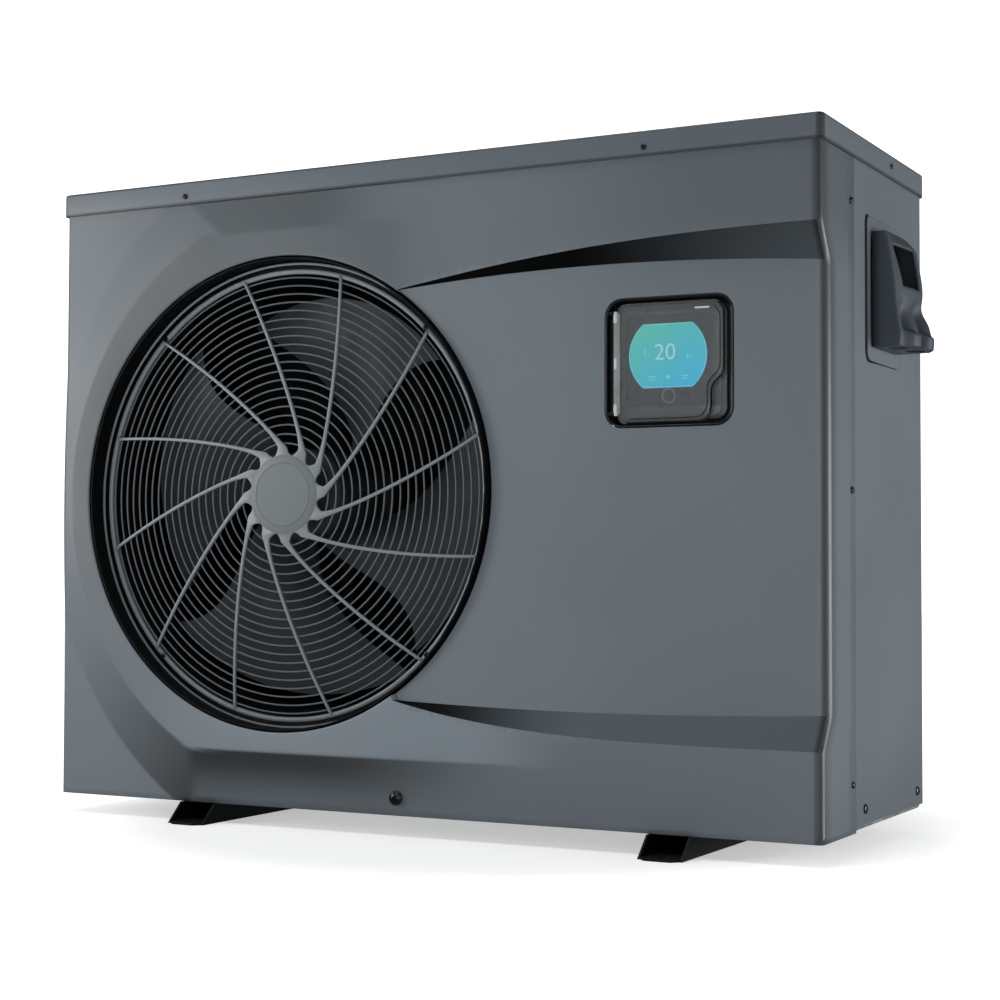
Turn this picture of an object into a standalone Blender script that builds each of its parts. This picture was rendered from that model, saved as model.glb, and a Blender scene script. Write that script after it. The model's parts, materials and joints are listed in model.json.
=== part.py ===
"""Pool heat pump unit: painted steel cabinet, fan, coil, compressor, water heat exchanger.

Metres, +Z up. The origin is the centre of the overall box at the floor. The fan and the
control pocket face -Y, the carry handle is on +X and the water unions are on +Y.
"""
import math

import bmesh
import bpy
from mathutils import Matrix, Vector

# ---- driving dimensions (metres) ----
CABINET_W = 0.991
LID_D = 0.371
OVERALL_H = 0.768
OVERALL_W = 1.046
OVERALL_D = 0.453
FOOT_H = 0.0230
LID_SKIRT = 0.0275
LID_OVERHANG = 0.0034
CORNER_R = 0.007
GAP = 0.0003
PANEL_T = 0.0025
SHEET_T = 0.0015

LID_X0 = -OVERALL_W / 2
LID_X1 = LID_X0 + CABINET_W
LID_Y0 = -0.1945
LID_Y1 = LID_Y0 + LID_D
LID_Z0 = OVERALL_H - LID_SKIRT
REAR_END = OVERALL_D / 2

BODY_X0 = LID_X0 + LID_OVERHANG
BODY_X1 = LID_X1 - LID_OVERHANG
BODY_Y0 = LID_Y0 + LID_OVERHANG
BODY_Y1 = LID_Y1 - LID_OVERHANG
BODY_Z0 = FOOT_H + GAP
BODY_Z1 = 0.7620
SIDE_Z0 = 0.0290
FLANGE_Y = -0.0820

# fan mouth
FAN_X = -0.1965
FAN_Z = 0.3890
MOUTH_R = 0.2775
LIP_R = 0.2850
PLATEAU_R = 0.3065
SLOPE_R = 0.4000
PLATEAU_RISE = 0.0056
GUARD_R = 0.2745
GUARD_RING_R = 0.2620
GUARD_HUB_R = 0.0465
GUARD_RIBS = 12
GUARD_RIB_END = 13.9
GUARD_RIB_LAG = 2.53
GUARD_RIB_LEAD = 28.0
GUARD_RIB_W = 0.0058
GUARD_WIRES = 7
GUARD_WIRE_W = 0.0028
GUARD_Y = -0.1730
GUARD_T = 0.0040
GUARD_DOME = 0.0080
ROTOR_R = 0.2400
ROTOR_HUB_R = 0.0550
ROTOR_BLADES = 4
BLADE_START = 27.6
BLADE_ROOT_R = 0.0480
BLADE_SPAN = (60.0, 12.0)
BLADE_SWEEP = 28.0
BLADE_Y = -0.1400
BLADE_PITCH = 0.0740
BLADE_T = 0.0030
SHAFT_R = 0.0060
SHAFT_BORE_R = 0.0065

# recessed centre field of the front panel
FIELD_X0 = -0.0375
FIELD_DEPTH = 0.0211
FIELD_SLOPE = FIELD_DEPTH / (BODY_X1 - FIELD_X0)
FIELD_TOP_Z = 0.6170
FIELD_TOP_RISE = 0.0405
FIELD_TOP_CURVE = 2.3
FIELD_TOP_BOW = 0.0465
FIELD_LOW_Z = 0.1530
FIELD_LOW_DROP = 0.0364
FIELD_LOW_CURVE = 3.6
FIELD_LOW_BOW = 0.0235
FIELD_SECTIONS = 8

# control pocket, measured in its own tilted frame (X right, Y inward, Z up)
POCKET_X = 0.2905
POCKET_Z = 0.5220
POCKET_W = 0.1458
POCKET_H = 0.1400
POCKET_R = 0.0200
POCKET_D = 0.0250
DOOR_X0 = -0.0655
DOOR_X1 = 0.0622
DOOR_Z0 = -0.0655
DOOR_Z1 = 0.0640
DOOR_Y = 0.0036
DOOR_T = 0.0022
HINGE_R = 0.0023
PIN_R = 0.00075
BARREL_Z = 0.0520
LUG_T = 0.0035
SCREEN_X = -0.0030
SCREEN_Z = 0.0075
SCREEN_R = 0.0460
SCREEN_HALF_H = 0.0348
KEY_X = -0.0032
KEY_Z = -0.0358
KEY_R = 0.0075
CONTROLLER_Y0 = 0.0095

# side handle on the right panel
HANDLE_Y0 = -0.0205
HANDLE_Y1 = 0.0655
HANDLE_Z0 = 0.5440
HANDLE_Z1 = 0.6720
HANDLE_OUT = OVERALL_W / 2 - BODY_X1
PLATE_Y0 = -0.0355
PLATE_Y1 = 0.0865
PLATE_Z0 = 0.5280
PLATE_Z1 = 0.6870

# feet
FOOT_X = (-0.3066, 0.2986)
FOOT_W = 0.0505
FOOT_T = 0.0025
FOOT_Y0 = -OVERALL_D / 2
FOOT_Y1 = 0.2000

# coil and partition
COIL_T = 0.0220
COIL_X0 = -0.4940
COIL_X1 = 0.0705
COIL_Y0 = -0.1300
COIL_Y1 = 0.1390
COIL_BEND_R = 0.0450
INNER_Z0 = 0.0251
INNER_Z1 = 0.7520

# water and refrigerant circuit
WATER_X = 0.3750
WATER_Z = (0.1300, 0.4000)
PORT_R = 0.0285
PORT_BORE_R = 0.0225
NUT_R = 0.0420
NUT_BORE_R = 0.0320
EXCHANGER_Y = 0.0400
EXCHANGER_R = 0.0600
COMPRESSOR = (0.2400, -0.0300)
COMPRESSOR_R = 0.0620
ACCUMULATOR = (0.2400, 0.0750)
PIPE_R = 0.0050
VALVE_Z = 0.4600

FINISHES = {
    "paint": ((0.130, 0.150, 0.170), 0.45, 0.0),
    "guard": ((0.100, 0.118, 0.132), 0.40, 0.0),
    "black_plastic": ((0.012, 0.013, 0.015), 0.45, 0.0),
    "dark_plastic": ((0.035, 0.042, 0.050), 0.50, 0.0),
    "smoked_glass": ((0.300, 0.320, 0.330), 0.08, 0.0),
    "glass_black": ((0.010, 0.011, 0.013), 0.10, 0.0),
    "screen": ((0.090, 0.500, 0.560), 0.20, 0.0),
    "rail": ((0.008, 0.009, 0.010), 0.55, 0.2),
    "galvanised": ((0.550, 0.570, 0.580), 0.45, 0.9),
    "aluminium": ((0.700, 0.710, 0.720), 0.35, 1.0),
    "copper": ((0.720, 0.340, 0.180), 0.30, 1.0),
    "brass": ((0.750, 0.560, 0.260), 0.35, 1.0),
    "black_steel": ((0.020, 0.020, 0.022), 0.40, 0.5),
    "rubber": ((0.015, 0.015, 0.015), 0.85, 0.0),
    "white_plastic": ((0.700, 0.710, 0.700), 0.50, 0.0),
    "screw_steel": ((0.060, 0.065, 0.072), 0.35, 0.8),
}

for old in list(bpy.data.objects):
    bpy.data.objects.remove(old, do_unlink=True)
MODEL = bpy.data.collections.new("heat_pump_unit")
CUTTERS = bpy.data.collections.new("cutters")
bpy.context.scene.collection.children.link(MODEL)
bpy.context.scene.collection.children.link(CUTTERS)


# ---- general helpers ----
def finish_material(name, finish):
    """A Principled material of the sub-part's own."""
    colour, roughness, metallic = FINISHES[finish]
    made = bpy.data.materials.new(name)
    made.use_nodes = True
    shader = made.node_tree.nodes["Principled BSDF"]
    shader.inputs["Base Color"].default_value = (*colour, 1.0)
    shader.inputs["Roughness"].default_value = roughness
    shader.inputs["Metallic"].default_value = metallic
    return made


def place(obj, finish):
    """Link a sub-part to the model, or a tool (finish None) to the cutters."""
    if finish is None:
        CUTTERS.objects.link(obj)
        obj.hide_render = True
        obj.display_type = "WIRE"
    else:
        MODEL.objects.link(obj)
        obj.data.materials.append(finish_material(obj.name, finish))
    return obj


def from_bmesh(name, bm, finish, matrix=None):
    """Turn a bmesh into an object, placed by a matrix."""
    bmesh.ops.recalc_face_normals(bm, faces=bm.faces)
    mesh = bpy.data.meshes.new(name)
    bm.to_mesh(mesh)
    bm.free()
    obj = bpy.data.objects.new(name, mesh)
    obj.matrix_world = matrix or Matrix()
    return place(obj, finish)


def along(axis, origin):
    """Matrix that lays local +Z along an axis, at an origin."""
    turn = Vector((0, 0, 1)).rotation_difference(Vector(axis)).to_matrix().to_4x4()
    return Matrix.Translation(origin) @ turn


def block(name, low, high, finish, matrix=None, bevel=0.0):
    """Box between two corners, optionally with rounded edges."""
    low, high = Vector(low), Vector(high)
    bm = bmesh.new()
    bmesh.ops.create_cube(bm, size=1.0)
    bmesh.ops.scale(bm, vec=high - low, verts=bm.verts)
    centre = Matrix.Translation((low + high) / 2)
    obj = from_bmesh(name, bm, finish, (matrix or Matrix()) @ centre)
    if bevel:
        edge = obj.modifiers.new("edges", "BEVEL")
        edge.width = bevel
        edge.segments = 2
    return obj


def drum(name, start, end, radius, finish, sides=32, end_radius=None):
    """Cylinder or cone between two points."""
    start, end = Vector(start), Vector(end)
    bm = bmesh.new()
    bmesh.ops.create_cone(bm, cap_ends=True, segments=sides, radius1=radius,
                          radius2=radius if end_radius is None else end_radius,
                          depth=(end - start).length)
    obj = from_bmesh(name, bm, finish, along(end - start, (start + end) / 2))
    obj.data.shade_smooth()
    obj.data.set_sharp_from_angle(angle=math.radians(40))
    return obj


def turned(name, profile, origin, axis, finish, steps=32, ring=False):
    """Turned piece: (radius, height) points down its outer side, turned about an axis."""
    mesh = bpy.data.meshes.new(name)
    points = [(radius, 0.0, height) for radius, height in profile]
    edges = [(i, i + 1) for i in range(len(points) - 1)]
    if ring:
        edges.append((len(points) - 1, 0))
    mesh.from_pydata(points, edges, [])
    obj = bpy.data.objects.new(name, mesh)
    obj.matrix_world = along(axis, origin)
    place(obj, finish)
    turn = obj.modifiers.new("turn", "SCREW")
    turn.steps = steps
    turn.render_steps = steps
    turn.use_merge_vertices = True
    turn.merge_threshold = 0.00001
    turn.use_smooth_shade = True
    return obj


def mesh_of_curve(obj, name, finish):
    """Replace a curve object by a closed mesh object of the same shape and place."""
    bpy.context.scene.collection.objects.link(obj)
    bpy.context.view_layer.update()
    graph = bpy.context.evaluated_depsgraph_get()
    mesh = bpy.data.meshes.new_from_object(obj.evaluated_get(graph))
    bm = bmesh.new()
    bm.from_mesh(mesh)
    bmesh.ops.remove_doubles(bm, verts=bm.verts, dist=0.000005)
    matrix = obj.matrix_world.copy()
    bpy.data.meshes.remove(mesh)
    bpy.data.objects.remove(obj)
    return from_bmesh(name, bm, finish, matrix)


def flat(name, outlines, thickness, matrix, finish):
    """Flat plate: outer outline and holes in local XY, thickness centred on local Z = 0."""
    curve = bpy.data.curves.new(name + "_outline", "CURVE")
    curve.dimensions = "2D"
    curve.fill_mode = "BOTH"
    curve.extrude = thickness / 2
    for outline in outlines:
        spline = curve.splines.new("POLY")
        spline.points.add(len(outline) - 1)
        spline.use_cyclic_u = True
        for point, (x, y) in zip(spline.points, outline):
            point.co = (x, y, 0.0, 1.0)
    obj = bpy.data.objects.new(name + "_outline", curve)
    obj.matrix_world = matrix
    return mesh_of_curve(obj, name, finish)


def facing_front(x, y, z):
    """Matrix for a plate whose local X is world X, local Y is world Z and local Z is -Y."""
    return Matrix.Translation((x, y, z)) @ Matrix.Rotation(math.radians(90), 4, "X")


def facing_right(x, y, z):
    """Matrix for a plate whose local X is world Y, local Y is world Z and local Z is +X."""
    turn = Matrix.Rotation(math.radians(90), 4, "Z") @ Matrix.Rotation(math.radians(90), 4, "X")
    return Matrix.Translation((x, y, z)) @ turn


def arc(cx, cy, radius, start, end, steps):
    """Points on an arc; angles in degrees, both ends included."""
    points = []
    for i in range(steps + 1):
        angle = math.radians(start + (end - start) * i / steps)
        points.append((cx + radius * math.cos(angle), cy + radius * math.sin(angle)))
    return points


def circle(cx, cy, radius, sides):
    """Points round a circle."""
    return arc(cx, cy, radius, 0, 360, sides)[:-1]


def rounded(x0, y0, x1, y1, radius, steps=3):
    """Rectangle with rounded corners, anticlockwise."""
    points = []
    corners = ((x1 - radius, y1 - radius, 0), (x0 + radius, y1 - radius, 90),
               (x0 + radius, y0 + radius, 180), (x1 - radius, y0 + radius, 270))
    for cx, cy, start in corners:
        points += arc(cx, cy, radius, start, start + 90, steps)
    return points


def bent(points, radius, steps=4):
    """Polyline whose inner corners are rounded to a bend radius."""
    points = [Vector(point) for point in points]
    result = [points[0]]
    for before, corner, after in zip(points, points[1:], points[2:]):
        back = (before - corner).normalized()
        ahead = (after - corner).normalized()
        half = back.angle(ahead) / 2
        reach = radius / math.tan(half)
        centre = corner + (back + ahead).normalized() * radius / math.sin(half)
        start = corner + back * reach - centre
        end = corner + ahead * reach - centre
        for i in range(steps + 1):
            result.append(centre + start.slerp(end, i / steps).normalized() * start.length)
    result.append(points[-1])
    return result


def wall(name, path, z0, z1, thickness, finish):
    """Bent sheet: an upright open surface along a path in XY, thickened to its left."""
    bm = bmesh.new()
    low = [bm.verts.new((x, y, z0)) for x, y in path]
    high = [bm.verts.new((x, y, z1)) for x, y in path]
    for i in range(len(path) - 1):
        bm.faces.new((low[i], low[i + 1], high[i + 1], high[i]))
    mesh = bpy.data.meshes.new(name)
    bm.to_mesh(mesh)
    bm.free()
    obj = place(bpy.data.objects.new(name, mesh), finish)
    thicken = obj.modifiers.new("sheet", "SOLIDIFY")
    thicken.thickness = thickness
    thicken.offset = -1.0
    thicken.use_even_offset = True
    return obj


def tray(name, low, high, open_side, thickness, finish, bevel=0.0):
    """Box shell without its top (open_side 1) or bottom (-1) face, thickened inward."""
    low, high = Vector(low), Vector(high)
    bm = bmesh.new()
    bmesh.ops.create_cube(bm, size=1.0)
    bmesh.ops.scale(bm, vec=high - low, verts=bm.verts)
    lost = [face for face in bm.faces if face.normal.z * open_side > 0.9]
    bmesh.ops.delete(bm, geom=lost, context="FACES_ONLY")
    if bevel:
        kept = [edge for edge in bm.edges if len(edge.link_faces) == 2]
        bmesh.ops.bevel(bm, geom=kept, offset=bevel, segments=2, profile=0.5, affect="EDGES")
    mesh = bpy.data.meshes.new(name)
    bm.to_mesh(mesh)
    bm.free()
    obj = bpy.data.objects.new(name, mesh)
    obj.location = (low + high) / 2
    place(obj, finish)
    thicken = obj.modifiers.new("sheet", "SOLIDIFY")
    thicken.thickness = thickness
    thicken.offset = -1.0
    thicken.use_even_offset = True
    return obj


def loft(name, sections, finish, matrix=None):
    """Closed solid through sections that have the same number of points."""
    bm = bmesh.new()
    rings = [[bm.verts.new(point) for point in section] for section in sections]
    count = len(sections[0])
    for ring, after in zip(rings, rings[1:]):
        for i in range(count):
            j = (i + 1) % count
            bm.faces.new((ring[i], ring[j], after[j], after[i]))
    bm.faces.new(rings[0])
    bm.faces.new(rings[-1])
    return from_bmesh(name, bm, finish, matrix)


def pipe(name, points, finish="copper", radius=PIPE_R, bend=0.012):
    """Round tube along a bent path."""
    path = bent(points, bend)
    curve = bpy.data.curves.new(name, "CURVE")
    curve.dimensions = "3D"
    curve.bevel_depth = radius
    curve.bevel_resolution = 2
    curve.use_fill_caps = True
    spline = curve.splines.new("POLY")
    spline.points.add(len(path) - 1)
    for point, place_at in zip(spline.points, path):
        point.co = (*place_at, 1.0)
    return place(bpy.data.objects.new(name, curve), finish)


def boolean(obj, tool, operation):
    """Cut a tool out of a piece, or join it on, with the exact solver."""
    step = obj.modifiers.new(operation.lower() + "_" + tool.name, "BOOLEAN")
    step.operation = operation
    step.solver = "EXACT"
    step.object = tool
    return obj


def cut(obj, *tools):
    """Remove each tool from a piece."""
    for tool in tools:
        boolean(obj, tool, "DIFFERENCE")
    return obj


def join(obj, *tools):
    """Add each tool to a piece."""
    for tool in tools:
        boolean(obj, tool, "UNION")
    return obj


def screw(name, position, axis, radius=0.0045, height=0.0022):
    """Pan head of a screw, just clear of the face under it."""
    axis = Vector(axis)
    start = Vector(position) + axis * GAP
    return drum(name, start, start + axis * height, radius, "screw_steel", sides=12,
                end_radius=radius * 0.72)


# ---- cabinet ----
def top_cover():
    tray("top_cover", (LID_X0, LID_Y0, LID_Z0), (LID_X1, LID_Y1, OVERALL_H), -1,
         SHEET_T, "paint", bevel=0.004)


def panel_box(name, inset, finish, z0, z1):
    """Upright block of the front panel, with its front corners rounded, inset all round."""
    x0, x1 = BODY_X0 + inset, BODY_X1 - inset
    y0, y1 = BODY_Y0 + inset, FLANGE_Y + (0.01 if inset else 0.0)
    radius = CORNER_R - inset
    outline = [(x1, y1), (x0, y1)]
    outline += arc(x0 + radius, y0 + radius, radius, 180, 270, 3)
    outline += arc(x1 - radius, y0 + radius, radius, 270, 360, 3)
    middle = Matrix.Translation((0, 0, (z0 + z1) / 2))
    return flat(name, [outline], z1 - z0, middle, finish)


def plateau(name, inset):
    """Raised ground round the fan mouth: a flat top whose flanks run out to the panel."""
    top_y = BODY_Y0 - PLATEAU_RISE + inset
    root_y = BODY_Y0 + 0.001 + inset

    def outline(radius, end_x, y):
        points = [(end_x, FAN_Z - radius)] + [(end_x, FAN_Z + radius)]
        points += arc(FAN_X, FAN_Z, radius, 90, 270, 14)
        return [(x, y, z) for x, z in points]

    solid = loft(name, [outline(PLATEAU_R, -0.045, top_y),
                        outline(SLOPE_R, 0.030, root_y)], None)
    frame = block(name + "_frame", (BODY_X0 + inset, -0.25, BODY_Z0 - inset),
                  (0.2, 0.0, LID_Z0 - 0.0005 - inset), None)
    return boolean(solid, frame, "INTERSECT")


def field_wedge(name, inset):
    """Space in front of the recessed field, between the upper and the lower swept edge."""
    sections = []
    span = BODY_X1 - FIELD_X0
    for i in range(FIELD_SECTIONS):
        s = 0.02 + 1.02 * i / (FIELD_SECTIONS - 1)
        left = max(0.0, 1 - s)
        depth = FIELD_DEPTH * s + inset
        top_front = FIELD_TOP_Z + FIELD_TOP_RISE * (1 - left ** FIELD_TOP_CURVE) + inset
        top_deep = FIELD_TOP_Z + FIELD_TOP_BOW * s * (1.05 - s) + inset
        low_deep = FIELD_LOW_Z - FIELD_LOW_BOW * s * (1.04 - s) - inset
        low_front = FIELD_LOW_Z - FIELD_LOW_DROP * (1 - left ** FIELD_LOW_CURVE) - inset
        x = FIELD_X0 + span * s
        front, deep = BODY_Y0 - 0.02, BODY_Y0 + depth
        face = BODY_Y0 + inset
        sections.append([(x, front, low_front), (x, face, low_front), (x, deep, low_deep),
                         (x, deep, top_deep), (x, face, top_front), (x, front, top_front)])
    return loft(name, sections, None)


def front_panel():
    panel = panel_box("front_panel", 0.0, "paint", BODY_Z0, BODY_Z1)
    inner = panel_box("panel_inside", PANEL_T, None, BODY_Z0 - 0.01, BODY_Z1 + 0.01)
    join(inner, plateau("plateau_inside", PANEL_T))
    cut(inner, field_wedge("field_inside", PANEL_T))
    join(panel, plateau("plateau_outside", 0.0))
    cut(panel, field_wedge("field_outside", 0.0), inner)
    lip_y = BODY_Y0 - PLATEAU_RISE
    join(panel, drum("mouth_lip", (FAN_X, lip_y, FAN_Z), (FAN_X, lip_y + 0.0180, FAN_Z), LIP_R,
                     None, sides=64))
    mouth = drum("mouth_hole", (FAN_X, -0.25, FAN_Z), (FAN_X, -0.12, FAN_Z), MOUTH_R, None,
                 sides=64)
    half_w, half_h = POCKET_W / 2, POCKET_H / 2
    pocket = flat("pocket_hole", [rounded(-half_w, -half_h, half_w, half_h, POCKET_R)], 0.06,
                  pocket_frame() @ facing_front(0, 0, 0), None)
    cut(panel, mouth, pocket)


def side_panels():
    wall("right_side_panel",
         [(BODY_X1, FLANGE_Y + 0.0004), (BODY_X1, BODY_Y1 - 0.003), (BODY_X1 - 0.003, BODY_Y1),
          (0.4395, BODY_Y1)], SIDE_Z0, BODY_Z1, SHEET_T, "paint")
    plate_hole = flat("plate_hole", [rounded(PLATE_Y0 - GAP, PLATE_Z0 - GAP, PLATE_Y1 + GAP,
                                             PLATE_Z1 + GAP, 0.0123)], 0.02,
                      facing_right(BODY_X1, 0, 0), None)
    cut(bpy.data.objects["right_side_panel"], plate_hole)
    left = wall("left_side_panel",
                [(-0.4946, BODY_Y1), (BODY_X0 + 0.003, BODY_Y1), (BODY_X0, BODY_Y1 - 0.003),
                 (BODY_X0, FLANGE_Y + 0.0004)], SIDE_Z0, BODY_Z1, SHEET_T, "paint")
    slots = []
    for i in range(12):
        z = 0.110 + 0.050 * i
        slots.append(block(f"left_slot_{i + 1}", (BODY_X0 - 0.01, -0.005, z),
                           (BODY_X0 + 0.01, 0.094, z + 0.026), None))
    cut(left, *slots)


def rear_panels():
    y = BODY_Y1 - SHEET_T / 2
    holes = [circle(WATER_X, z, PORT_R + 0.0012, 24) for z in WATER_Z]
    holes.append(circle(0.1600, 0.5600, 0.0102, 16))
    flat("rear_service_panel",
         [[(0.0740, SIDE_Z0), (0.4390, SIDE_Z0), (0.4390, BODY_Z1), (0.0740, BODY_Z1)]]
         + [[(x, z) for x, z in hole] for hole in holes], SHEET_T, facing_front(0, y, 0), "paint")
    columns, rows, bar = 7, 7, 0.005
    x0, x1 = -0.4941, 0.0735
    width = (x1 - x0 - bar) / columns
    height = (BODY_Z1 - SIDE_Z0 - bar) / rows
    openings = []
    for i in range(columns):
        for j in range(rows):
            left = x0 + bar + width * i
            low = SIDE_Z0 + bar + height * j
            openings.append([(left, low), (left + width - bar, low),
                             (left + width - bar, low + height - bar), (left, low + height - bar)])
    flat("rear_coil_guard", [[(x0, SIDE_Z0), (x1, SIDE_Z0), (x1, BODY_Z1), (x0, BODY_Z1)]]
         + openings, 0.003, facing_front(0, y, 0), "guard")


def base():
    pan = tray("base_pan", (BODY_X0 + PANEL_T + 0.0005, BODY_Y0 + PANEL_T + 0.0005, BODY_Z0),
               (BODY_X1 - PANEL_T - 0.0005, BODY_Y1 - SHEET_T - 0.0010, 0.0450), 1,
               0.0012, "galvanised", bevel=0.004)
    cut(pan, drum("drain_hole", (-0.20, 0.09, 0.0), (-0.20, 0.09, 0.04), 0.010, None, sides=20))
    for side, x in zip(("left", "right"), FOOT_X):
        foot_rail(side, x)


def foot_rail(side, x):
    """Channel open upward: a slotted floor strip and two side walls with sloping ends."""
    half = FOOT_W / 2 - 0.0007
    corner = 0.010
    outline = [(half - corner, FOOT_Y0), (half, FOOT_Y0 + corner), (half, FOOT_Y1 - corner),
               (half - corner, FOOT_Y1), (corner - half, FOOT_Y1), (-half, FOOT_Y1 - corner),
               (-half, FOOT_Y0 + corner), (corner - half, FOOT_Y0)]
    slots = [rounded(-0.0045, y - 0.0090, 0.0045, y + 0.0090, 0.0044, steps=3)
             for y in (FOOT_Y0 + 0.0150, FOOT_Y1 - 0.0150)]
    floor = flat(f"foot_rail_{side}", [outline] + slots, FOOT_T,
                 Matrix.Translation((x, 0, FOOT_T / 2)), "rail")
    for hand in (-1, 1):
        web = [(FOOT_Y0 + 0.0060, 0.0003), (FOOT_Y1 - 0.0060, 0.0003),
               (FOOT_Y1 - 0.0300, FOOT_H), (FOOT_Y0 + 0.0300, FOOT_H)]
        join(floor, flat(f"foot_web_{side}_{'l' if hand < 0 else 'r'}", [web], FOOT_T,
                         facing_right(x + hand * (FOOT_W - FOOT_T) / 2, 0, 0), None))


def partition():
    wall("partition_panel", [(0.112, -0.172), (0.112, 0.020), (0.087, 0.080), (0.087, 0.124)],
         INNER_Z0, INNER_Z1, 0.0012, "galvanised")


# ---- fan ----
def guard_outlines():
    """Rim, and for each rib gap and wire gap one curved opening between swirl ribs."""
    holes = []
    rings = [GUARD_HUB_R + (GUARD_RING_R - GUARD_HUB_R) * i / GUARD_WIRES
             for i in range(GUARD_WIRES + 1)]
    for k in range(GUARD_RIBS):
        for inner, outer in zip(rings, rings[1:]):
            low, high = inner + GUARD_WIRE_W / 2, outer - GUARD_WIRE_W / 2
            opening = []
            for radius, order in ((low, 1), (high, -1)):
                start = 360 / GUARD_RIBS * k + rib_turn(radius)
                margin = math.degrees(GUARD_RIB_W / 2 / radius)
                ends = (start + margin, start + 360 / GUARD_RIBS - margin)
                opening += arc(0, 0, radius, *ends[::order], 3)
            holes.append(opening)
    return [circle(0, 0, GUARD_R, 60)] + holes


def rib_turn(radius):
    """Angle, in degrees, of a swirl rib at a radius: straight outside, curling near the hub."""
    return (GUARD_RIB_END - GUARD_RIB_LAG * (1 / radius - 1 / GUARD_RING_R)
            + GUARD_RIB_LEAD * (radius - GUARD_RING_R))


def fan_guard():
    guard = flat("fan_guard", guard_outlines(), GUARD_T, facing_front(FAN_X, GUARD_Y, FAN_Z),
                 "guard")
    for vertex in guard.data.vertices:
        radius = math.hypot(vertex.co.x, vertex.co.y)
        vertex.co.z += GUARD_DOME * (1 - (radius / GUARD_R) ** 2)


def fan_orifice():
    """Dark wall inside the fan mouth: a ledge for the guard, then a bell down to the throat."""
    outer = [(0.2770, 0.0), (0.2770, -0.0240)]
    outer += [(0.2580 + 0.0190 * math.cos(math.radians(turn)),
               -0.0240 - 0.0500 * math.sin(math.radians(turn))) for turn in (30, 60, 90)]
    outer += [(0.2580, -0.1010)]
    inner = [(0.2560, -0.1010), (0.2560, -0.0710), (0.2600, -0.0420), (0.2620, -0.0285),
             (0.2752, -0.0255), (0.2752, 0.0)]
    turned("fan_orifice_ring", outer + inner, (FAN_X, -0.1960, FAN_Z), (0, -1, 0), "black_plastic",
           steps=48, ring=True)


def fan_blade(name, turn):
    """One swept blade as a thickened twisted sheet."""
    bm = bmesh.new()
    rows = []
    for i in range(6):
        s = i / 5
        radius = BLADE_ROOT_R + (ROTOR_R - BLADE_ROOT_R) * s
        row = []
        for j in range(6):
            t = j / 5
            angle = math.radians(turn + BLADE_SWEEP * s + (BLADE_SPAN[0] + BLADE_SPAN[1] * s) * t)
            depth = BLADE_Y + BLADE_PITCH * (t ** 1.1) * (1 - 0.25 * s) + 0.006 * s
            row.append(bm.verts.new((radius * math.cos(angle), depth, radius * math.sin(angle))))
        rows.append(row)
    for row, after in zip(rows, rows[1:]):
        for j in range(5):
            bm.faces.new((row[j], row[j + 1], after[j + 1], after[j]))
    mesh = bpy.data.meshes.new(name)
    bm.to_mesh(mesh)
    bm.free()
    blade = bpy.data.objects.new(name, mesh)
    blade.location = (FAN_X, 0, FAN_Z)
    place(blade, None)
    thicken = blade.modifiers.new("blade", "SOLIDIFY")
    thicken.thickness = BLADE_T
    thicken.offset = 0.0
    return blade


def fan():
    hub = [(SHAFT_BORE_R, 0.0), (0.0440, 0.0), (ROTOR_HUB_R, -0.0100), (ROTOR_HUB_R, -0.0800),
           (SHAFT_BORE_R, -0.0800)]
    rotor = turned("fan_rotor", hub, (FAN_X, -0.1440, FAN_Z), (0, -1, 0), "black_plastic",
                   steps=30, ring=True)
    for k in range(ROTOR_BLADES):
        join(rotor, fan_blade(f"blade_{k + 1}", BLADE_START + 360 / ROTOR_BLADES * k))
    turned("fan_nut", [(0.0072, 0.0), (0.0110, 0.0), (0.0110, -0.0080), (0.0072, -0.0080)],
           (FAN_X, -0.1525, FAN_Z), (0, -1, 0), "screw_steel", steps=6, ring=True)
    drum("fan_shaft", (FAN_X, 0.0000, FAN_Z), (FAN_X, -0.1550, FAN_Z), SHAFT_R, "galvanised",
         sides=16)
    motor = turned("fan_motor", [(0, 0.0), (0.0180, 0.0), (0.0180, -0.0060), (0.0500, -0.0100),
                                 (0.0580, -0.0180), (0.0580, -0.0780), (0.0500, -0.0840),
                                 (0, -0.0840)], (FAN_X, -0.0450, FAN_Z), (0, -1, 0),
                   "black_steel", steps=28)
    cut(motor, drum("motor_bore", (FAN_X, 0.0040, FAN_Z), (FAN_X, -0.0600, FAN_Z), 0.0068, None,
                    sides=16))
    bracket = block("motor_bracket", (FAN_X - 0.062, 0.0400, FAN_Z - 0.062),
                    (FAN_X + 0.062, 0.0430, FAN_Z + 0.062), "galvanised")
    for hand in (-1, 1):
        x = FAN_X + hand * 0.052
        join(bracket, block(f"motor_rail_{hand}", (x - 0.008, 0.0420, INNER_Z0),
                            (x + 0.008, 0.0540, INNER_Z1), None))


# ---- coil and refrigerant circuit ----
def coil():
    half = COIL_T / 2
    path = bent([(COIL_X0 - half, COIL_Y0, 0), (COIL_X0 - half, COIL_Y1 + half, 0),
                 (COIL_X1, COIL_Y1 + half, 0)], COIL_BEND_R + half, steps=5)
    wall("evaporator_coil", [(point.x, point.y) for point in reversed(path)], INNER_Z0, INNER_Z1,
         COIL_T, "aluminium")
    block("coil_end_plate", (COIL_X1 + GAP, COIL_Y1 - half - 0.002, INNER_Z0),
          (COIL_X1 + GAP + 0.0015, COIL_Y1 + half + 0.002, INNER_Z1), "galvanised")


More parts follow.
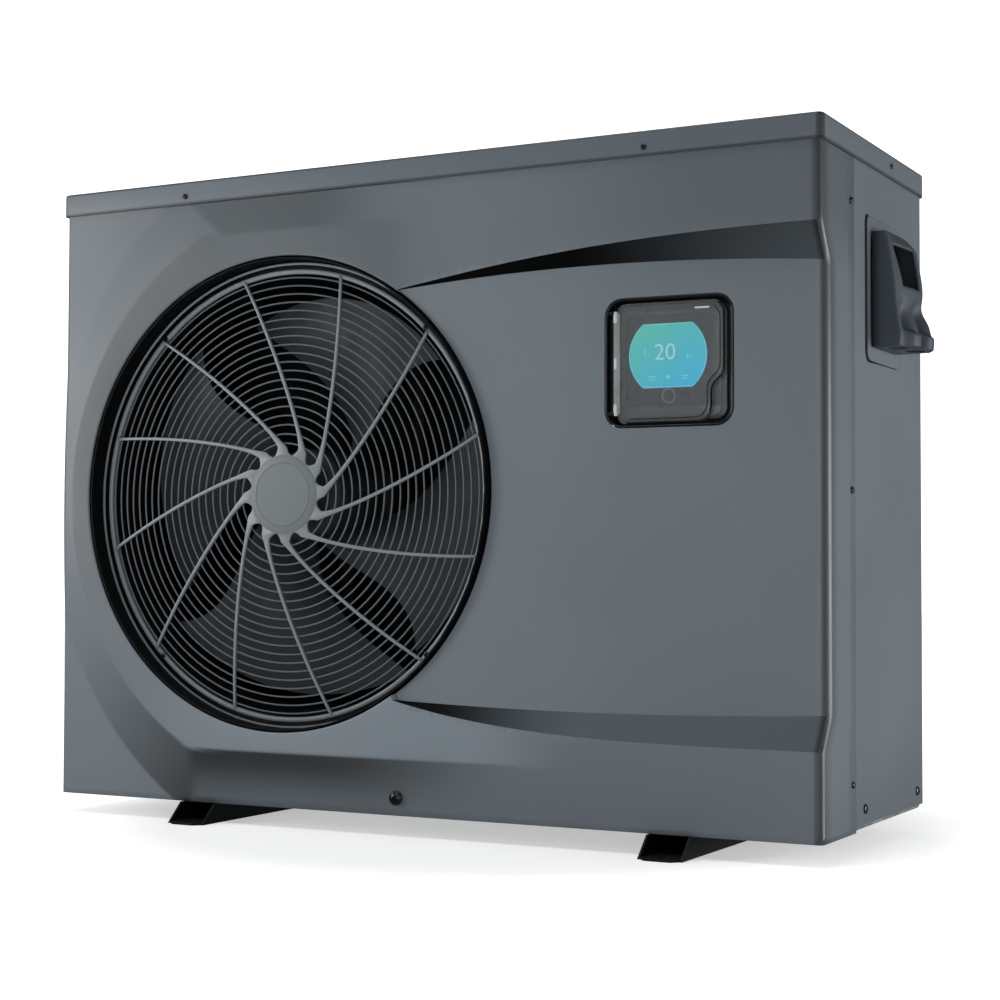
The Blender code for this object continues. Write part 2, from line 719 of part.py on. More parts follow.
def compressor():
    cx, cy = COMPRESSOR
    outline = []
    for k in range(3):
        outline += arc(cx + 0.085 * math.cos(math.radians(120 * k + 90)),
                       cy + 0.085 * math.sin(math.radians(120 * k + 90)), 0.018,
                       120 * k + 30, 120 * k + 150, 4)
    feet = flat("compressor_foot", [outline], 0.0035, Matrix.Translation((0, 0, 0.0475)), None)
    body = turned("compressor", [(0, 0.4100), (0.0060, 0.4100), (0.0060, 0.3950), (0.0400, 0.3880),
                                 (0.0580, 0.3700), (COMPRESSOR_R, 0.3500), (COMPRESSOR_R, 0.0750),
                                 (0.0500, 0.0560), (0, 0.0470)], (cx, cy, 0), (0, 0, 1),
                  "black_steel", steps=28)
    join(body, feet)
    for k in range(3):
        angle = math.radians(120 * k + 90)
        foot = (cx + 0.085 * math.cos(angle), cy + 0.085 * math.sin(angle))
        drum(f"compressor_grommet_{k + 1}", (*foot, INNER_Z0), (*foot, 0.0475 - 0.00175 - GAP),
             0.0130, "rubber", sides=16, end_radius=0.0110)
    turned("accumulator", [(0, 0.3350), (0.0055, 0.3350), (0.0055, 0.3280), (0.0200, 0.3220),
                           (0.0290, 0.3100), (0.0290, 0.1700), (0.0200, 0.1560), (0, 0.1500)],
           (*ACCUMULATOR, 0), (0, 0, 1), "black_steel", steps=20)


def refrigerant_circuit():
    x, y = ACCUMULATOR[0], 0.0500
    valve = drum("four_way_valve", (x - 0.050, y, VALVE_Z), (x + 0.050, y, VALVE_Z), 0.0130,
                 "brass", sides=20)
    join(valve, drum("valve_stub_in", (x, y, VALVE_Z), (x, y - 0.030, VALVE_Z), 0.0070, None,
                     sides=12))
    for k in (-1, 0, 1):
        join(valve, drum(f"valve_stub_{k}", (x + 0.025 * k, y, VALVE_Z),
                         (x + 0.025 * k, y, VALVE_Z - 0.043), 0.0070, None, sides=12))
    end_z = VALVE_Z - 0.043 - GAP
    pipe("discharge_pipe", [(*COMPRESSOR, 0.4100 + GAP), (*COMPRESSOR, VALVE_Z),
                            (x, y - 0.030 - GAP, VALVE_Z)])
    pipe("suction_pipe", [(x, y, end_z), (x, y, 0.385), (x, ACCUMULATOR[1], 0.355),
                          (x, ACCUMULATOR[1], 0.3350 + GAP)], bend=0.006)
    exchanger_side = WATER_X - EXCHANGER_R - 0.0006
    pipe("exchanger_gas_pipe", [(x + 0.025, y, end_z), (x + 0.025, y, 0.390),
                                (x + 0.045, EXCHANGER_Y, 0.390),
                                (exchanger_side, EXCHANGER_Y, 0.390)], bend=0.008)
    coil_side = COIL_X1 + 0.0015 + 2 * GAP + 0.0003
    pipe("coil_gas_pipe", [(x - 0.025, y, end_z), (x - 0.025, y, 0.390), (0.150, y, 0.390),
                           (0.150, COIL_Y1, 0.390), (coil_side, COIL_Y1, 0.390)])
    turned("expansion_valve", [(0, 0.1500), (0.0100, 0.1480), (0.0100, 0.1180), (0.0125, 0.1150),
                               (0.0125, 0.0850), (0, 0.0850)], (0.160, EXCHANGER_Y, 0), (0, 0, 1),
           "brass", steps=16)
    pipe("liquid_pipe_warm", [(exchanger_side, EXCHANGER_Y, 0.100),
                              (0.250, EXCHANGER_Y + 0.012, 0.100),
                              (0.160 + 0.0130, EXCHANGER_Y, 0.100)], bend=0.010)
    pipe("liquid_pipe_cold", [(0.160 - 0.0130, EXCHANGER_Y, 0.100),
                              (0.125, EXCHANGER_Y, 0.100), (0.125, COIL_Y1, 0.100),
                              (coil_side, COIL_Y1, 0.100)], bend=0.010)


# ---- water side ----
def water_side():
    shell = turned("water_heat_exchanger",
                   [(0, 0.5050), (0.0400, 0.5000), (EXCHANGER_R, 0.4750), (EXCHANGER_R, 0.0650),
                    (0.0500, 0.0400), (0, 0.0400)], (WATER_X, EXCHANGER_Y, 0), (0, 0, 1),
                   "black_plastic", steps=28)
    for name, z in zip(("inlet", "outlet"), WATER_Z):
        join(shell, drum(f"{name}_port", (WATER_X, EXCHANGER_Y + 0.03, z), (WATER_X, 0.1345, z),
                         PORT_R, None, sides=24))
        tail = [(PORT_BORE_R, 0.0), (0.0300, 0.0), (0.0300, -0.0200), (0.0340, -0.0205),
                (0.0340, -0.0237), (PORT_R, -0.0240), (PORT_R, -0.0652), (PORT_BORE_R, -0.0652)]
        turned(f"water_{name}_tail", tail, (WATER_X, 0.2000, z), (0, 1, 0), "black_plastic",
               steps=24, ring=True)
        lobes = []
        for k in range(40):
            bump = 0.0016 if k % 4 < 2 else -0.0016
            angle = math.radians(9 * k)
            lobes.append(((NUT_R + bump) * math.cos(angle), (NUT_R + bump) * math.sin(angle)))
        nut_length = REAR_END - 0.1802
        flat(f"union_nut_{name}", [lobes, circle(0, 0, NUT_BORE_R, 24)], nut_length,
             facing_front(WATER_X, 0.1802 + nut_length / 2, z), "dark_plastic")
    drum("flow_switch", (WATER_X, 0.1220, WATER_Z[1] + PORT_R + 0.0005),
         (WATER_X, 0.1220, WATER_Z[1] + PORT_R + 0.0420), 0.0110, "dark_plastic", sides=16)


# ---- electrics ----
def electrics():
    tray("electronics_box", (0.130, -0.100, 0.605), (0.452, 0.160, 0.735), 1, 0.0015,
         "black_plastic")
    block("electronics_cover", (0.128, -0.102, 0.7353), (0.454, 0.162, 0.7370), "galvanised")
    board = block("control_board", (0.145, -0.085, 0.6120), (0.370, 0.145, 0.6136), "dark_plastic")
    parts = ((0.170, -0.060, 0.035, 0.055, 0.030), (0.230, 0.040, 0.060, 0.040, 0.024),
             (0.300, -0.050, 0.045, 0.060, 0.036), (0.180, 0.090, 0.040, 0.030, 0.018))
    for k, (x, y, w, d, h) in enumerate(parts):
        join(board, block(f"board_part_{k + 1}", (x, y, 0.6128), (x + w, y + d, 0.6136 + h), None))
    terminals = block("terminal_block", (0.390, -0.060, 0.6075), (0.430, 0.100, 0.6300),
                      "white_plastic")
    for k in range(6):
        y = -0.046 + 0.024 * k
        cut(terminals, block(f"terminal_gap_{k + 1}", (0.400, y, 0.6200), (0.440, y + 0.012, 0.64),
                             None))
    turned("cable_gland", [(0, 0.0360), (0.0080, 0.0360), (0.0110, 0.0300), (0.0135, 0.0190),
                           (0.0135, 0.0153), (0.0098, 0.0150), (0.0098, 0.0129), (0.0135, 0.0126),
                           (0.0135, 0.0060), (0, 0.0060)], (0.1600, 0.1584, 0.5600), (0, 1, 0),
           "black_plastic", steps=18)


def pocket_frame():
    """Tilted frame of the control pocket, at its centre on the recessed field."""
    y = BODY_Y0 + FIELD_SLOPE * (POCKET_X - FIELD_X0)
    tilt = Matrix.Rotation(math.atan(FIELD_SLOPE), 4, "Z")
    return Matrix.Translation((POCKET_X, y, POCKET_Z)) @ tilt


def pocket_plate(name, outlines, y0, y1, finish):
    """Plate in the control pocket's frame between two depths."""
    return flat(name, outlines, y1 - y0, pocket_frame() @ facing_front(0, (y0 + y1) / 2, 0), finish)


def control_pocket():
    half_w, half_h = POCKET_W / 2 - GAP, POCKET_H / 2 - GAP
    bezel = pocket_plate("control_bezel", [rounded(-half_w, -half_h, half_w, half_h,
                                                   POCKET_R - GAP)], 0.0004, POCKET_D,
                         "black_plastic")
    wall_t = 0.0020
    cut(bezel, pocket_plate("bezel_space", [rounded(-half_w + wall_t, -half_h + wall_t,
                                                    half_w - wall_t, half_h - wall_t,
                                                    POCKET_R - wall_t)], -0.005, 0.0215, None))
    hinge_lugs(bezel)
    body = pocket_plate("controller_body", [rounded(-0.0620, -0.0620, 0.0620, 0.0620, 0.0120)],
                        CONTROLLER_Y0, 0.0212, "glass_black")
    edge = math.degrees(math.asin(SCREEN_HALF_H / SCREEN_R))

    def clipped(radius):
        points = arc(SCREEN_X, SCREEN_Z, radius, -edge, edge, 8)
        return points + arc(SCREEN_X, SCREEN_Z, radius, 180 - edge, 180 + edge, 8)

    cut(body, pocket_plate("screen_pocket", [clipped(SCREEN_R + GAP)], 0.004, 0.0111, None))
    pocket_plate("lcd_screen", [clipped(SCREEN_R)], 0.0096, 0.0108, "screen")
    cut(body, pocket_plate("key_pocket", [circle(KEY_X, KEY_Z, KEY_R + GAP, 24)], 0.004, 0.0140,
                           None))
    pocket_plate("home_key", [circle(KEY_X, KEY_Z, KEY_R, 24)], 0.0092, 0.0115, "glass_black")
    display_door()


def display_door():
    """Smoked door with a finger notch at its lower right, on a barrel at its left edge."""
    hinge_x = DOOR_X0 + HINGE_R
    r = 0.0140
    outline = arc(DOOR_X1 - r, DOOR_Z1 - r, r, 0, 90, 4)
    shoulder, left_r = hinge_x + 0.0040, 0.0100
    outline += arc(shoulder + left_r, DOOR_Z1 - left_r, left_r, 90, 180, 4)
    outline += [(shoulder, BARREL_Z), (hinge_x, BARREL_Z), (hinge_x, -BARREL_Z),
                (shoulder, -BARREL_Z)]
    outline += arc(shoulder + left_r, DOOR_Z0 + left_r, left_r, 180, 270, 4)
    outline += [(0.0360, DOOR_Z0), (0.0460, DOOR_Z0 + 0.0060), (0.0480, DOOR_Z0 + 0.0140),
                (0.0480, DOOR_Z0 + 0.0350), (DOOR_X1, DOOR_Z0 + 0.0530)]
    door = pocket_plate("display_door", [outline], DOOR_Y - DOOR_T / 2, DOOR_Y + DOOR_T / 2,
                        "smoked_glass")
    join(door, hinge_rod("door_barrel", BARREL_Z, HINGE_R, None, 12))
    cut(door, hinge_rod("door_bore", BARREL_Z + 0.01, PIN_R + 0.0002, None, 12))
    hinge_rod("door_hinge_pin", BARREL_Z + LUG_T, PIN_R, "screw_steel", 8)


def hinge_rod(name, half_length, radius, finish, sides):
    """Rod on the door's hinge axis, centred on the pocket's middle height."""
    frame = pocket_frame()
    x = DOOR_X0 + HINGE_R
    return drum(name, frame @ Vector((x, DOOR_Y, -half_length)),
                frame @ Vector((x, DOOR_Y, half_length)), radius, finish, sides=sides)


def hinge_lugs(bezel):
    """Two small ears of the bezel that hold the ends of the hinge pin."""
    x = DOOR_X0 + HINGE_R
    for hand in (-1, 1):
        near, far = BARREL_Z + 0.0005, BARREL_Z + 0.0005 + LUG_T
        low, high = sorted((hand * near, hand * far))
        join(bezel, block(f"hinge_lug_{hand}", (-POCKET_W / 2 + 0.0022, DOOR_Y - 0.0022, low),
                          (x + 0.0024, DOOR_Y + 0.0022, high), None, pocket_frame()))
    cut(bezel, hinge_rod("lug_bore", BARREL_Z + 2 * LUG_T, PIN_R + 0.0003, None, 12))


# ---- handle and screws ----
def side_handle():
    """Dark shell that stands off the side: open below, with a finger window outside."""
    flat("handle_plate", [rounded(PLATE_Y0, PLATE_Z0, PLATE_Y1, PLATE_Z1, 0.0120)], SHEET_T,
         facing_right(BODY_X1 - SHEET_T / 2, 0, 0), "paint")
    out = HANDLE_OUT
    start = GAP
    side = [(start, HANDLE_Z0), (0.90 * out, HANDLE_Z0), (out, HANDLE_Z0 + 0.0050),
            (out, HANDLE_Z0 + 0.0180), (0.80 * out, HANDLE_Z0 + 0.0480),
            (0.60 * out, HANDLE_Z1 - 0.0240), (0.34 * out, HANDLE_Z1), (start, HANDLE_Z1)]
    depth = HANDLE_Y1 - HANDLE_Y0
    middle = Matrix.Translation((BODY_X1, (HANDLE_Y0 + HANDLE_Y1) / 2, 0))
    matrix = middle @ Matrix.Rotation(math.radians(90), 4, "X")
    shell = flat("side_handle", [side], depth, matrix, "dark_plastic")
    t = 0.0035
    inside = [(start + t, HANDLE_Z0 - 0.010), (out - t, HANDLE_Z0 - 0.010),
              (out - t, HANDLE_Z0 + 0.0170), (0.80 * out - t, HANDLE_Z0 + 0.0470),
              (0.60 * out - t, HANDLE_Z1 - 0.0260), (0.34 * out - t, HANDLE_Z1 - t - 0.001),
              (start + t, HANDLE_Z1 - t)]
    cut(shell, flat("handle_space", [inside], depth - 2 * t, matrix, None))
    cut(shell, block("handle_window", (BODY_X1 + 0.014, HANDLE_Y0 + 0.018, HANDLE_Z0 + 0.060),
                     (BODY_X1 + 0.080, HANDLE_Y1 - 0.014, HANDLE_Z1 - 0.020), None))


def screws():
    for name, x in (("front_left", -0.3335), ("front_right", 0.2695)):
        screw(f"lid_screw_{name}", (x, LID_Y0, 0.7500), (0, -1, 0), radius=0.0032, height=0.0018)
    screw("lid_screw_side", (LID_X1, 0.0435, 0.7540), (1, 0, 0), radius=0.0032, height=0.0018)
    for name, z in (("low", 0.0750), ("middle", 0.3850), ("high", 0.6930)):
        screw(f"flange_screw_{name}", (BODY_X1, -0.0935, z), (1, 0, 0), radius=0.0036)
    for name, y in (("front", -0.0515), ("rear", 0.1465)):
        screw(f"base_screw_side_{name}", (BODY_X1, y, 0.0457), (1, 0, 0), radius=0.0052)
    screw("base_screw_front", (-0.0340, BODY_Y0 - 0.0034, 0.0433), (0, -1, 0), radius=0.0060,
          height=0.0030)


def main():
    top_cover()
    front_panel()
    side_panels()
    rear_panels()
    base()
    partition()
    fan_guard()
    fan_orifice()
    fan()
    coil()
    compressor()
    refrigerant_circuit()
    water_side()
    electrics()
    control_pocket()
    side_handle()
    screws()


main()
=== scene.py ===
"""Looks of the pool heat pump unit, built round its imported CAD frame.

Metres, +Z up: the fan and the control pocket face -Y, the carry handle is on +X.
"""
import json
import math

import bmesh
import bpy
from mathutils import Matrix, Vector
from mathutils.geometry import delaunay_2d_cdt
from mathutils.kdtree import KDTree


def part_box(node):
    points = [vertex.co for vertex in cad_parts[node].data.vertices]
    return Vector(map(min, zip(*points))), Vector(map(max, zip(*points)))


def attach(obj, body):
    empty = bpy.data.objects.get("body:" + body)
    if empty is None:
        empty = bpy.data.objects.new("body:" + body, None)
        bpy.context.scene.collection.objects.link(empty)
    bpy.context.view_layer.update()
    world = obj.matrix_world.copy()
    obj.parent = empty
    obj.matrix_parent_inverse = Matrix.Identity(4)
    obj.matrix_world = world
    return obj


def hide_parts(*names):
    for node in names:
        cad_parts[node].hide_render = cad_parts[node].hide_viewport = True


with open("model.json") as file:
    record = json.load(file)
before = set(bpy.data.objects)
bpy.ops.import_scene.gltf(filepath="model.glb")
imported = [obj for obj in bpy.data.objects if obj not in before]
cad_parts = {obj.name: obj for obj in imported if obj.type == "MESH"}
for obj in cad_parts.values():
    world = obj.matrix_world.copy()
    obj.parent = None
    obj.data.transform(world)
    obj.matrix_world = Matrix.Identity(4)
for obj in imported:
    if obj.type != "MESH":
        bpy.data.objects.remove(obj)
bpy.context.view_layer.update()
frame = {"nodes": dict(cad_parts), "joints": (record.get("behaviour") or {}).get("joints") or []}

JOINTS = {joint["name"]: joint for joint in frame["joints"]}

# ---- sizes taken from the frame ----
PANEL_LOW, PANEL_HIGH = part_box("front_panel")
LID_LOW, LID_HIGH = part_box("top_cover")
GUARD_LOW, GUARD_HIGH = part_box("fan_guard")
FAN = Vector(JOINTS["fan_spin"]["pos_m"])
GUARD_R = (GUARD_HIGH.x - GUARD_LOW.x) / 2

# ---- front panel ----
RISE = 0.0056
FACE_Y = PANEL_LOW.y + RISE
CORNER_R = 0.007
FIELD_CORNER_R = 0.0125
HOLE_R = 0.2785
FLAT_IN = (-0.1625, 0.3400)
FLAT_OUT = (-0.1050, 0.4370)
FLAT_HALF, FLAT_HALF_LOW = 0.3090, 0.3015
BAND = 0.0800
MITRE_X, MITRE_LEAN = -0.2800, 0.0960
FIELD_X0 = -0.0375
FIELD_DEPTH = 0.0211
FIELD_SPAN = PANEL_HIGH.x - FIELD_X0
FIELD_SLOPE = FIELD_DEPTH / FIELD_SPAN
WALL_END = -0.1700
RING_STEPS = 240
LIP_R = 0.0014
GRID, FINE_GRID, GRID_GAP = 0.0065, 0.0035, 0.0030
SHEET = 0.0012
CORNER_START = 0.0130
CORNER_LENGTH = 0.0200
SIDE_LENGTH = 0.0950
FACE_X0, FACE_X1 = PANEL_LOW.x + CORNER_START, PANEL_HIGH.x - CORNER_START

# ---- control pocket, in its own tilted frame ----
POCKET_X, POCKET_Z = 0.2905, 0.5220
POCKET_HALF_W, POCKET_HALF_H, POCKET_R = 0.0729, 0.0700, 0.0200
POCKET = (Matrix.Translation((POCKET_X, FACE_Y + FIELD_SLOPE * (POCKET_X - FIELD_X0), POCKET_Z))
          @ Matrix.Rotation(math.atan(FIELD_SLOPE), 4, "Z"))
DOOR = (-0.0655, -0.0655, 0.0622, 0.0640)
DOOR_Y = 0.0036
SCREEN = Vector((-0.0046, 0.0, 0.0075))
SCREEN_R, SCREEN_HALF = 0.0444, 0.0346
KEY = Vector((-0.0032, 0.0, -0.0358))
FRONTWARD, RIGHTWARD = Vector((0, -1, 0)), Vector((1, 0, 0))
UPRIGHT = Matrix.Rotation(math.radians(90), 4, "X")


# ---- general helpers ----
def smooth(value, low, high):
    """0 at low, 1 at high, with soft ends."""
    t = min(1.0, max(0.0, (value - low) / (high - low)))
    return t * t * (3 - 2 * t)


def around(radius, degrees, y=0.0):
    """Vector to a place at an angle about a Y axis, 0 at +X and 90 at +Z."""
    angle = math.radians(degrees)
    return Vector((radius * math.cos(angle), y, radius * math.sin(angle)))


def mesh_of(bm, name):
    """The mesh of a finished bmesh."""
    mesh = bpy.data.meshes.new(name)
    bm.to_mesh(mesh)
    bm.free()
    return mesh


def evaluated_mesh(name, data):
    """The mesh that a curve or a text makes."""
    flat = bpy.data.objects.new(name, data)
    bpy.context.scene.collection.objects.link(flat)
    bpy.context.view_layer.update()
    graph = bpy.context.evaluated_depsgraph_get()
    mesh = bpy.data.meshes.new_from_object(flat.evaluated_get(graph))
    bpy.data.objects.remove(flat)
    return mesh


def between(first, second, count):
    """Faces between two closed rings of points that start at these numbers."""
    return [[first + k, first + (k + 1) % count, second + (k + 1) % count, second + k]
            for k in range(count)]


def finish_piece(name, mesh, look, sharp=30.0, body="cabinet", slot=None):
    """Make a mesh a piece with its look, shading and body."""
    obj = bpy.data.objects.new(name, mesh)
    slot = slot or look.slot
    bpy.context.scene.collection.objects.link(obj)
    obj.data.materials.clear()
    obj.data.materials.append(look.material)
    obj.data.shade_smooth()
    obj.data.set_sharp_from_angle(angle=math.radians(sharp))
    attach(obj, body)
    return obj


def solid(name, verts, faces, look, matrix=None, sharp=30.0, body="cabinet", slot=None):
    """A mesh piece from points and faces, with its normals turned outward."""
    bm = bmesh.new()
    made = [bm.verts.new(point) for point in verts]
    for face in faces:
        corners = [made[i] for i in dict.fromkeys(face)]
        if len(corners) > 2:
            bm.faces.new(corners)
    bmesh.ops.recalc_face_normals(bm, faces=bm.faces)
    mesh = mesh_of(bm, name)
    if matrix is not None:
        mesh.transform(matrix)
    return finish_piece(name, mesh, look, sharp, body, slot)


def merged(parts):
    """Points and faces of several (points, faces) pairs as one pair."""
    verts, faces = [], []
    for points, sides in parts:
        base = len(verts)
        verts += list(points)
        faces += [[base + i for i in side] for side in sides]
    return verts, faces


def lathe(profile, steps, origin=Vector(), closed=True):
    """(radius, y) points turned about the Y axis through origin; radius 0 ends a cap."""
    verts, faces, rings = [], [], []
    for radius, y in profile:
        if radius < 1e-6:
            rings.append([len(verts)] * steps)
            verts.append(origin + Vector((0, y, 0)))
        else:
            rings.append(list(range(len(verts), len(verts) + steps)))
            verts += [origin + around(radius, 360 * k / steps, y) for k in range(steps)]
    pairs = list(zip(rings, rings[1:])) + ([(rings[-1], rings[0])] if closed else [])
    for ring, after in pairs:
        for k in range(steps):
            n = (k + 1) % steps
            faces.append([ring[k], ring[n], after[n], after[k]])
    return verts, faces


def sweep(path, radius, sides=8, closed=False):
    """Round tube along a path; radius may be one number or one for each point."""
    count = len(path)
    radii = radius if isinstance(radius, (list, tuple)) else [radius] * count
    verts, faces = [], []
    side = None
    for i, point in enumerate(path):
        before = path[(i - 1) % count] if closed or i else point
        after = path[(i + 1) % count] if closed or i < count - 1 else point
        ahead = (after - before).normalized()
        if side is None:
            side = ahead.orthogonal().normalized()
        side = (side - ahead * side.dot(ahead)).normalized()
        up = ahead.cross(side)
        for k in range(sides):
            angle = 2 * math.pi * k / sides
            verts.append(point + (side * math.cos(angle) + up * math.sin(angle)) * radii[i])
    for i in range(count if closed else count - 1):
        faces += between(i * sides, (i + 1) % count * sides, sides)
    if not closed:
        faces.append(list(range(sides)))
        faces.append(list(range((count - 1) * sides, count * sides)))
    return verts, faces


def arc(cx, cy, radius, start, end, steps):
    """Points on an arc; angles in degrees, both ends included."""
    angles = [math.radians(start + (end - start) * i / steps) for i in range(steps + 1)]
    return [(cx + radius * math.cos(angle), cy + radius * math.sin(angle)) for angle in angles]


def rounded(x0, y0, x1, y1, radius, steps=8):
    """Rectangle with rounded corners, anticlockwise."""
    points = []
    for cx, cy, start in ((x1 - radius, y1 - radius, 0), (x0 + radius, y1 - radius, 90),
                          (x0 + radius, y0 + radius, 180), (x1 - radius, y0 + radius, 270)):
        points += arc(cx, cy, radius, start, start + 90, steps)
    return points


def plate(name, outlines, y0, y1, edge, look, matrix=None, body="cabinet"):
    """Plate from outlines in XZ between two depths in Y, with rounded edges."""
    curve = bpy.data.curves.new(name, "CURVE")
    curve.dimensions = "2D"
    curve.fill_mode = "BOTH"
    curve.extrude = (y1 - y0) / 2 - edge
    curve.bevel_depth = edge
    curve.offset = -edge
    curve.bevel_resolution = 2
    for outline in outlines:
        spline = curve.splines.new("POLY")
        spline.points.add(len(outline) - 1)
        spline.use_cyclic_u = True
        for point, (x, z) in zip(spline.points, outline):
            point.co = (x, z, 0.0, 1.0)
    mesh = evaluated_mesh(name, curve)
    bm = bmesh.new()
    bm.from_mesh(mesh)
    bmesh.ops.remove_doubles(bm, verts=bm.verts, dist=0.000004)
    bmesh.ops.recalc_face_normals(bm, faces=bm.faces)
    bm.to_mesh(mesh)
    bm.free()
    stand = Matrix.Translation((0, (y0 + y1) / 2, 0)) @ UPRIGHT
    mesh.transform((matrix or Matrix()) @ stand)
    return finish_piece(name, mesh, look, 35.0, body)


# ---- materials ----
class Nodes:
    """A small builder for one node material."""

    def __init__(self, name, colour, roughness, metallic=0.0):
        self.material = bpy.data.materials.new(name)
        self.material.use_nodes = True
        self.tree = self.material.node_tree
        self.shader = self.tree.nodes["Principled BSDF"]
        self.colour = colour
        self.set("Base Color", (*colour, 1.0))
        self.set("Roughness", roughness)
        self.set("Metallic", metallic)
        self.coords = self.tree.nodes.new("ShaderNodeTexCoord").outputs["Object"]
        self.normal = None
        self.slot = None

    def set(self, socket, value):
        """Set one of the shader's own sockets."""
        self.shader.inputs[socket].default_value = value
        return self

    def link(self, output, socket):
        """Join an output to a socket."""
        self.tree.links.new(output, socket)

    def noise(self, scale, detail=2.0, stretch=None):
        """Noise in object space; stretch scales each axis."""
        node = self.tree.nodes.new("ShaderNodeTexNoise")
        node.inputs["Scale"].default_value = scale
        node.inputs["Detail"].default_value = detail
        if stretch is None:
            self.link(self.coords, node.inputs["Vector"])
        else:
            mapping = self.tree.nodes.new("ShaderNodeMapping")
            mapping.inputs["Scale"].default_value = stretch
            self.link(self.coords, mapping.inputs["Vector"])
            self.link(mapping.outputs["Vector"], node.inputs["Vector"])
        return node.outputs["Fac"]

    def ranged(self, value, low, high, start=0.3, end=0.7):
        """Map a value from start..end to low..high."""
        node = self.tree.nodes.new("ShaderNodeMapRange")
        for socket, number in (("From Min", start), ("From Max", end), ("To Min", low),
                               ("To Max", high)):
            node.inputs[socket].default_value = number
        self.link(value, node.inputs["Value"])
        return node.outputs["Result"]

    def mix(self, factor, first, second):
        """Colour mix; first and second are colours or outputs."""
        node = self.tree.nodes.new("ShaderNodeMix")
        node.data_type = "RGBA"
        self.link(factor, node.inputs["Factor"])
        for value, socket in ((first, node.inputs["A"]), (second, node.inputs["B"])):
            if isinstance(value, tuple):
                socket.default_value = (*value, 1.0)
            else:
                self.link(value, socket)
        return node.outputs["Result"]

    def mottle(self, scale, amount, detail=3.0, stretch=None):
        """Vary the colour softly about its mean."""
        low = tuple(channel * (1 - amount) for channel in self.colour)
        high = tuple(min(1.0, channel * (1 + amount)) for channel in self.colour)
        factor = self.ranged(self.noise(scale, detail, stretch), 0.0, 1.0)
        self.base = self.mix(factor, low, high)
        self.link(self.base, self.shader.inputs["Base Color"])
        return self

    def rough(self, scale, low, high, detail=2.0, stretch=None):
        """Vary the roughness between two values."""
        self.link(self.ranged(self.noise(scale, detail, stretch), low, high),
                  self.shader.inputs["Roughness"])
        return self

    def bump(self, height, distance, strength=1.0):
        """Add one layer of bump over those before."""
        node = self.tree.nodes.new("ShaderNodeBump")
        node.inputs["Distance"].default_value = distance
        node.inputs["Strength"].default_value = strength
        self.link(height, node.inputs["Height"])
        if self.normal is not None:
            self.link(self.normal, node.inputs["Normal"])
        self.normal = node.outputs["Normal"]
        self.link(self.normal, self.shader.inputs["Normal"])
        return self

    def tone(self, attribute):
        """Multiply the colour by a vertex attribute."""
        read = self.tree.nodes.new("ShaderNodeAttribute")
        read.attribute_name = attribute
        node = self.tree.nodes.new("ShaderNodeMix")
        node.data_type = "RGBA"
        node.blend_type = "MULTIPLY"
        node.inputs["Factor"].default_value = 1.0
        self.link(self.base, node.inputs["A"])
        self.link(read.outputs["Color"], node.inputs["B"])
        self.link(node.outputs["Result"], self.shader.inputs["Base Color"])
        return self


def powder_coat(name, colour, roughness=0.42):
    """Fine powder-coat paint on steel sheet: orange peel, grain and soft mottling."""
    made = Nodes(name, colour, roughness)
    made.mottle(2.3, 0.05).rough(5.0, roughness - 0.05, roughness + 0.05)
    made.bump(made.noise(420.0, 1.0), 0.00012, 0.35)
    made.bump(made.noise(1500.0, 2.0), 0.00005, 0.35)
    return made


def moulded(name, colour, roughness=0.5, grain=900.0, depth=0.00008):
    """Moulded plastic with a fine spark-eroded grain."""
    made = Nodes(name, colour, roughness)
    made.mottle(14.0, 0.10).rough(40.0, roughness - 0.06, roughness + 0.08)
    made.bump(made.noise(grain, 3.0), depth, 0.6)
    return made


def worn_metal(name, colour, roughness, stretch=(1.0, 1.0, 30.0), scale=60.0):
    """Metal with drawn streaks and dull patches."""
    made = Nodes(name, colour, roughness, 1.0)
    made.mottle(scale, 0.12, 4.0, stretch).rough(9.0, roughness - 0.08, roughness + 0.12)
    made.bump(made.noise(scale * 6, 2.0, stretch), 0.00004, 0.5)
    return made


def spangle(name):
    """Galvanised sheet with its crystal spangle."""
    made = Nodes(name, (0.52, 0.54, 0.55), 0.42, 0.9)
    cells = made.tree.nodes.new("ShaderNodeTexVoronoi")
    cells.inputs["Scale"].default_value = 110.0
    made.link(made.coords, cells.inputs["Vector"])
    grey = made.tree.nodes.new("ShaderNodeRGBToBW")
    made.link(cells.outputs["Color"], grey.inputs["Color"])
    made.base = made.mix(grey.outputs["Val"], (0.42, 0.44, 0.46), (0.62, 0.64, 0.65))
    made.link(made.base, made.shader.inputs["Base Color"])
    made.link(made.ranged(grey.outputs["Val"], 0.32, 0.52, 0.0, 1.0),
              made.shader.inputs["Roughness"])
    made.bump(made.noise(300.0, 2.0), 0.00005, 0.4)
    return made


PAINT = (0.098, 0.117, 0.133)
paint = powder_coat("cabinet_paint", PAINT)
# The front panel's and lid's paint is multiplied by their "tone" attribute of painted shade and
# painted light; the swept edges' walls take a duller copy with the same painted shade.
panel_paint = powder_coat("front_panel_paint", PAINT).tone("tone")
shaded_wall_paint = powder_coat("shaded_wall_paint", PAINT, 0.6).tone("tone").set("Specular IOR Level", 0.06)
guard_paint = powder_coat("guard_paint", (0.150, 0.172, 0.186), 0.36)
hub_paint = powder_coat("hub_paint", (0.112, 0.131, 0.137), 0.45)
# The wires take a darker copy of the guard's paint: painted shade on the thin wires.
wire_paint = powder_coat("wire_paint", (0.075, 0.086, 0.094), 0.42)
black = moulded("black_plastic", (0.0065, 0.0070, 0.0080), 0.38)
black_gloss = moulded("bezel_plastic", (0.006, 0.0065, 0.0075), 0.16, depth=0.00002)
slate = moulded("slate_plastic", (0.035, 0.045, 0.056), 0.56).set("Specular IOR Level", 0.30)
rotor_plastic = moulded(
    "rotor_plastic", (0.022, 0.026, 0.031), 0.50).set("Specular IOR Level", 0.30)
rail_paint = powder_coat("rail_paint", (0.003, 0.0035, 0.004), 0.6).set("Specular IOR Level", 0.2)
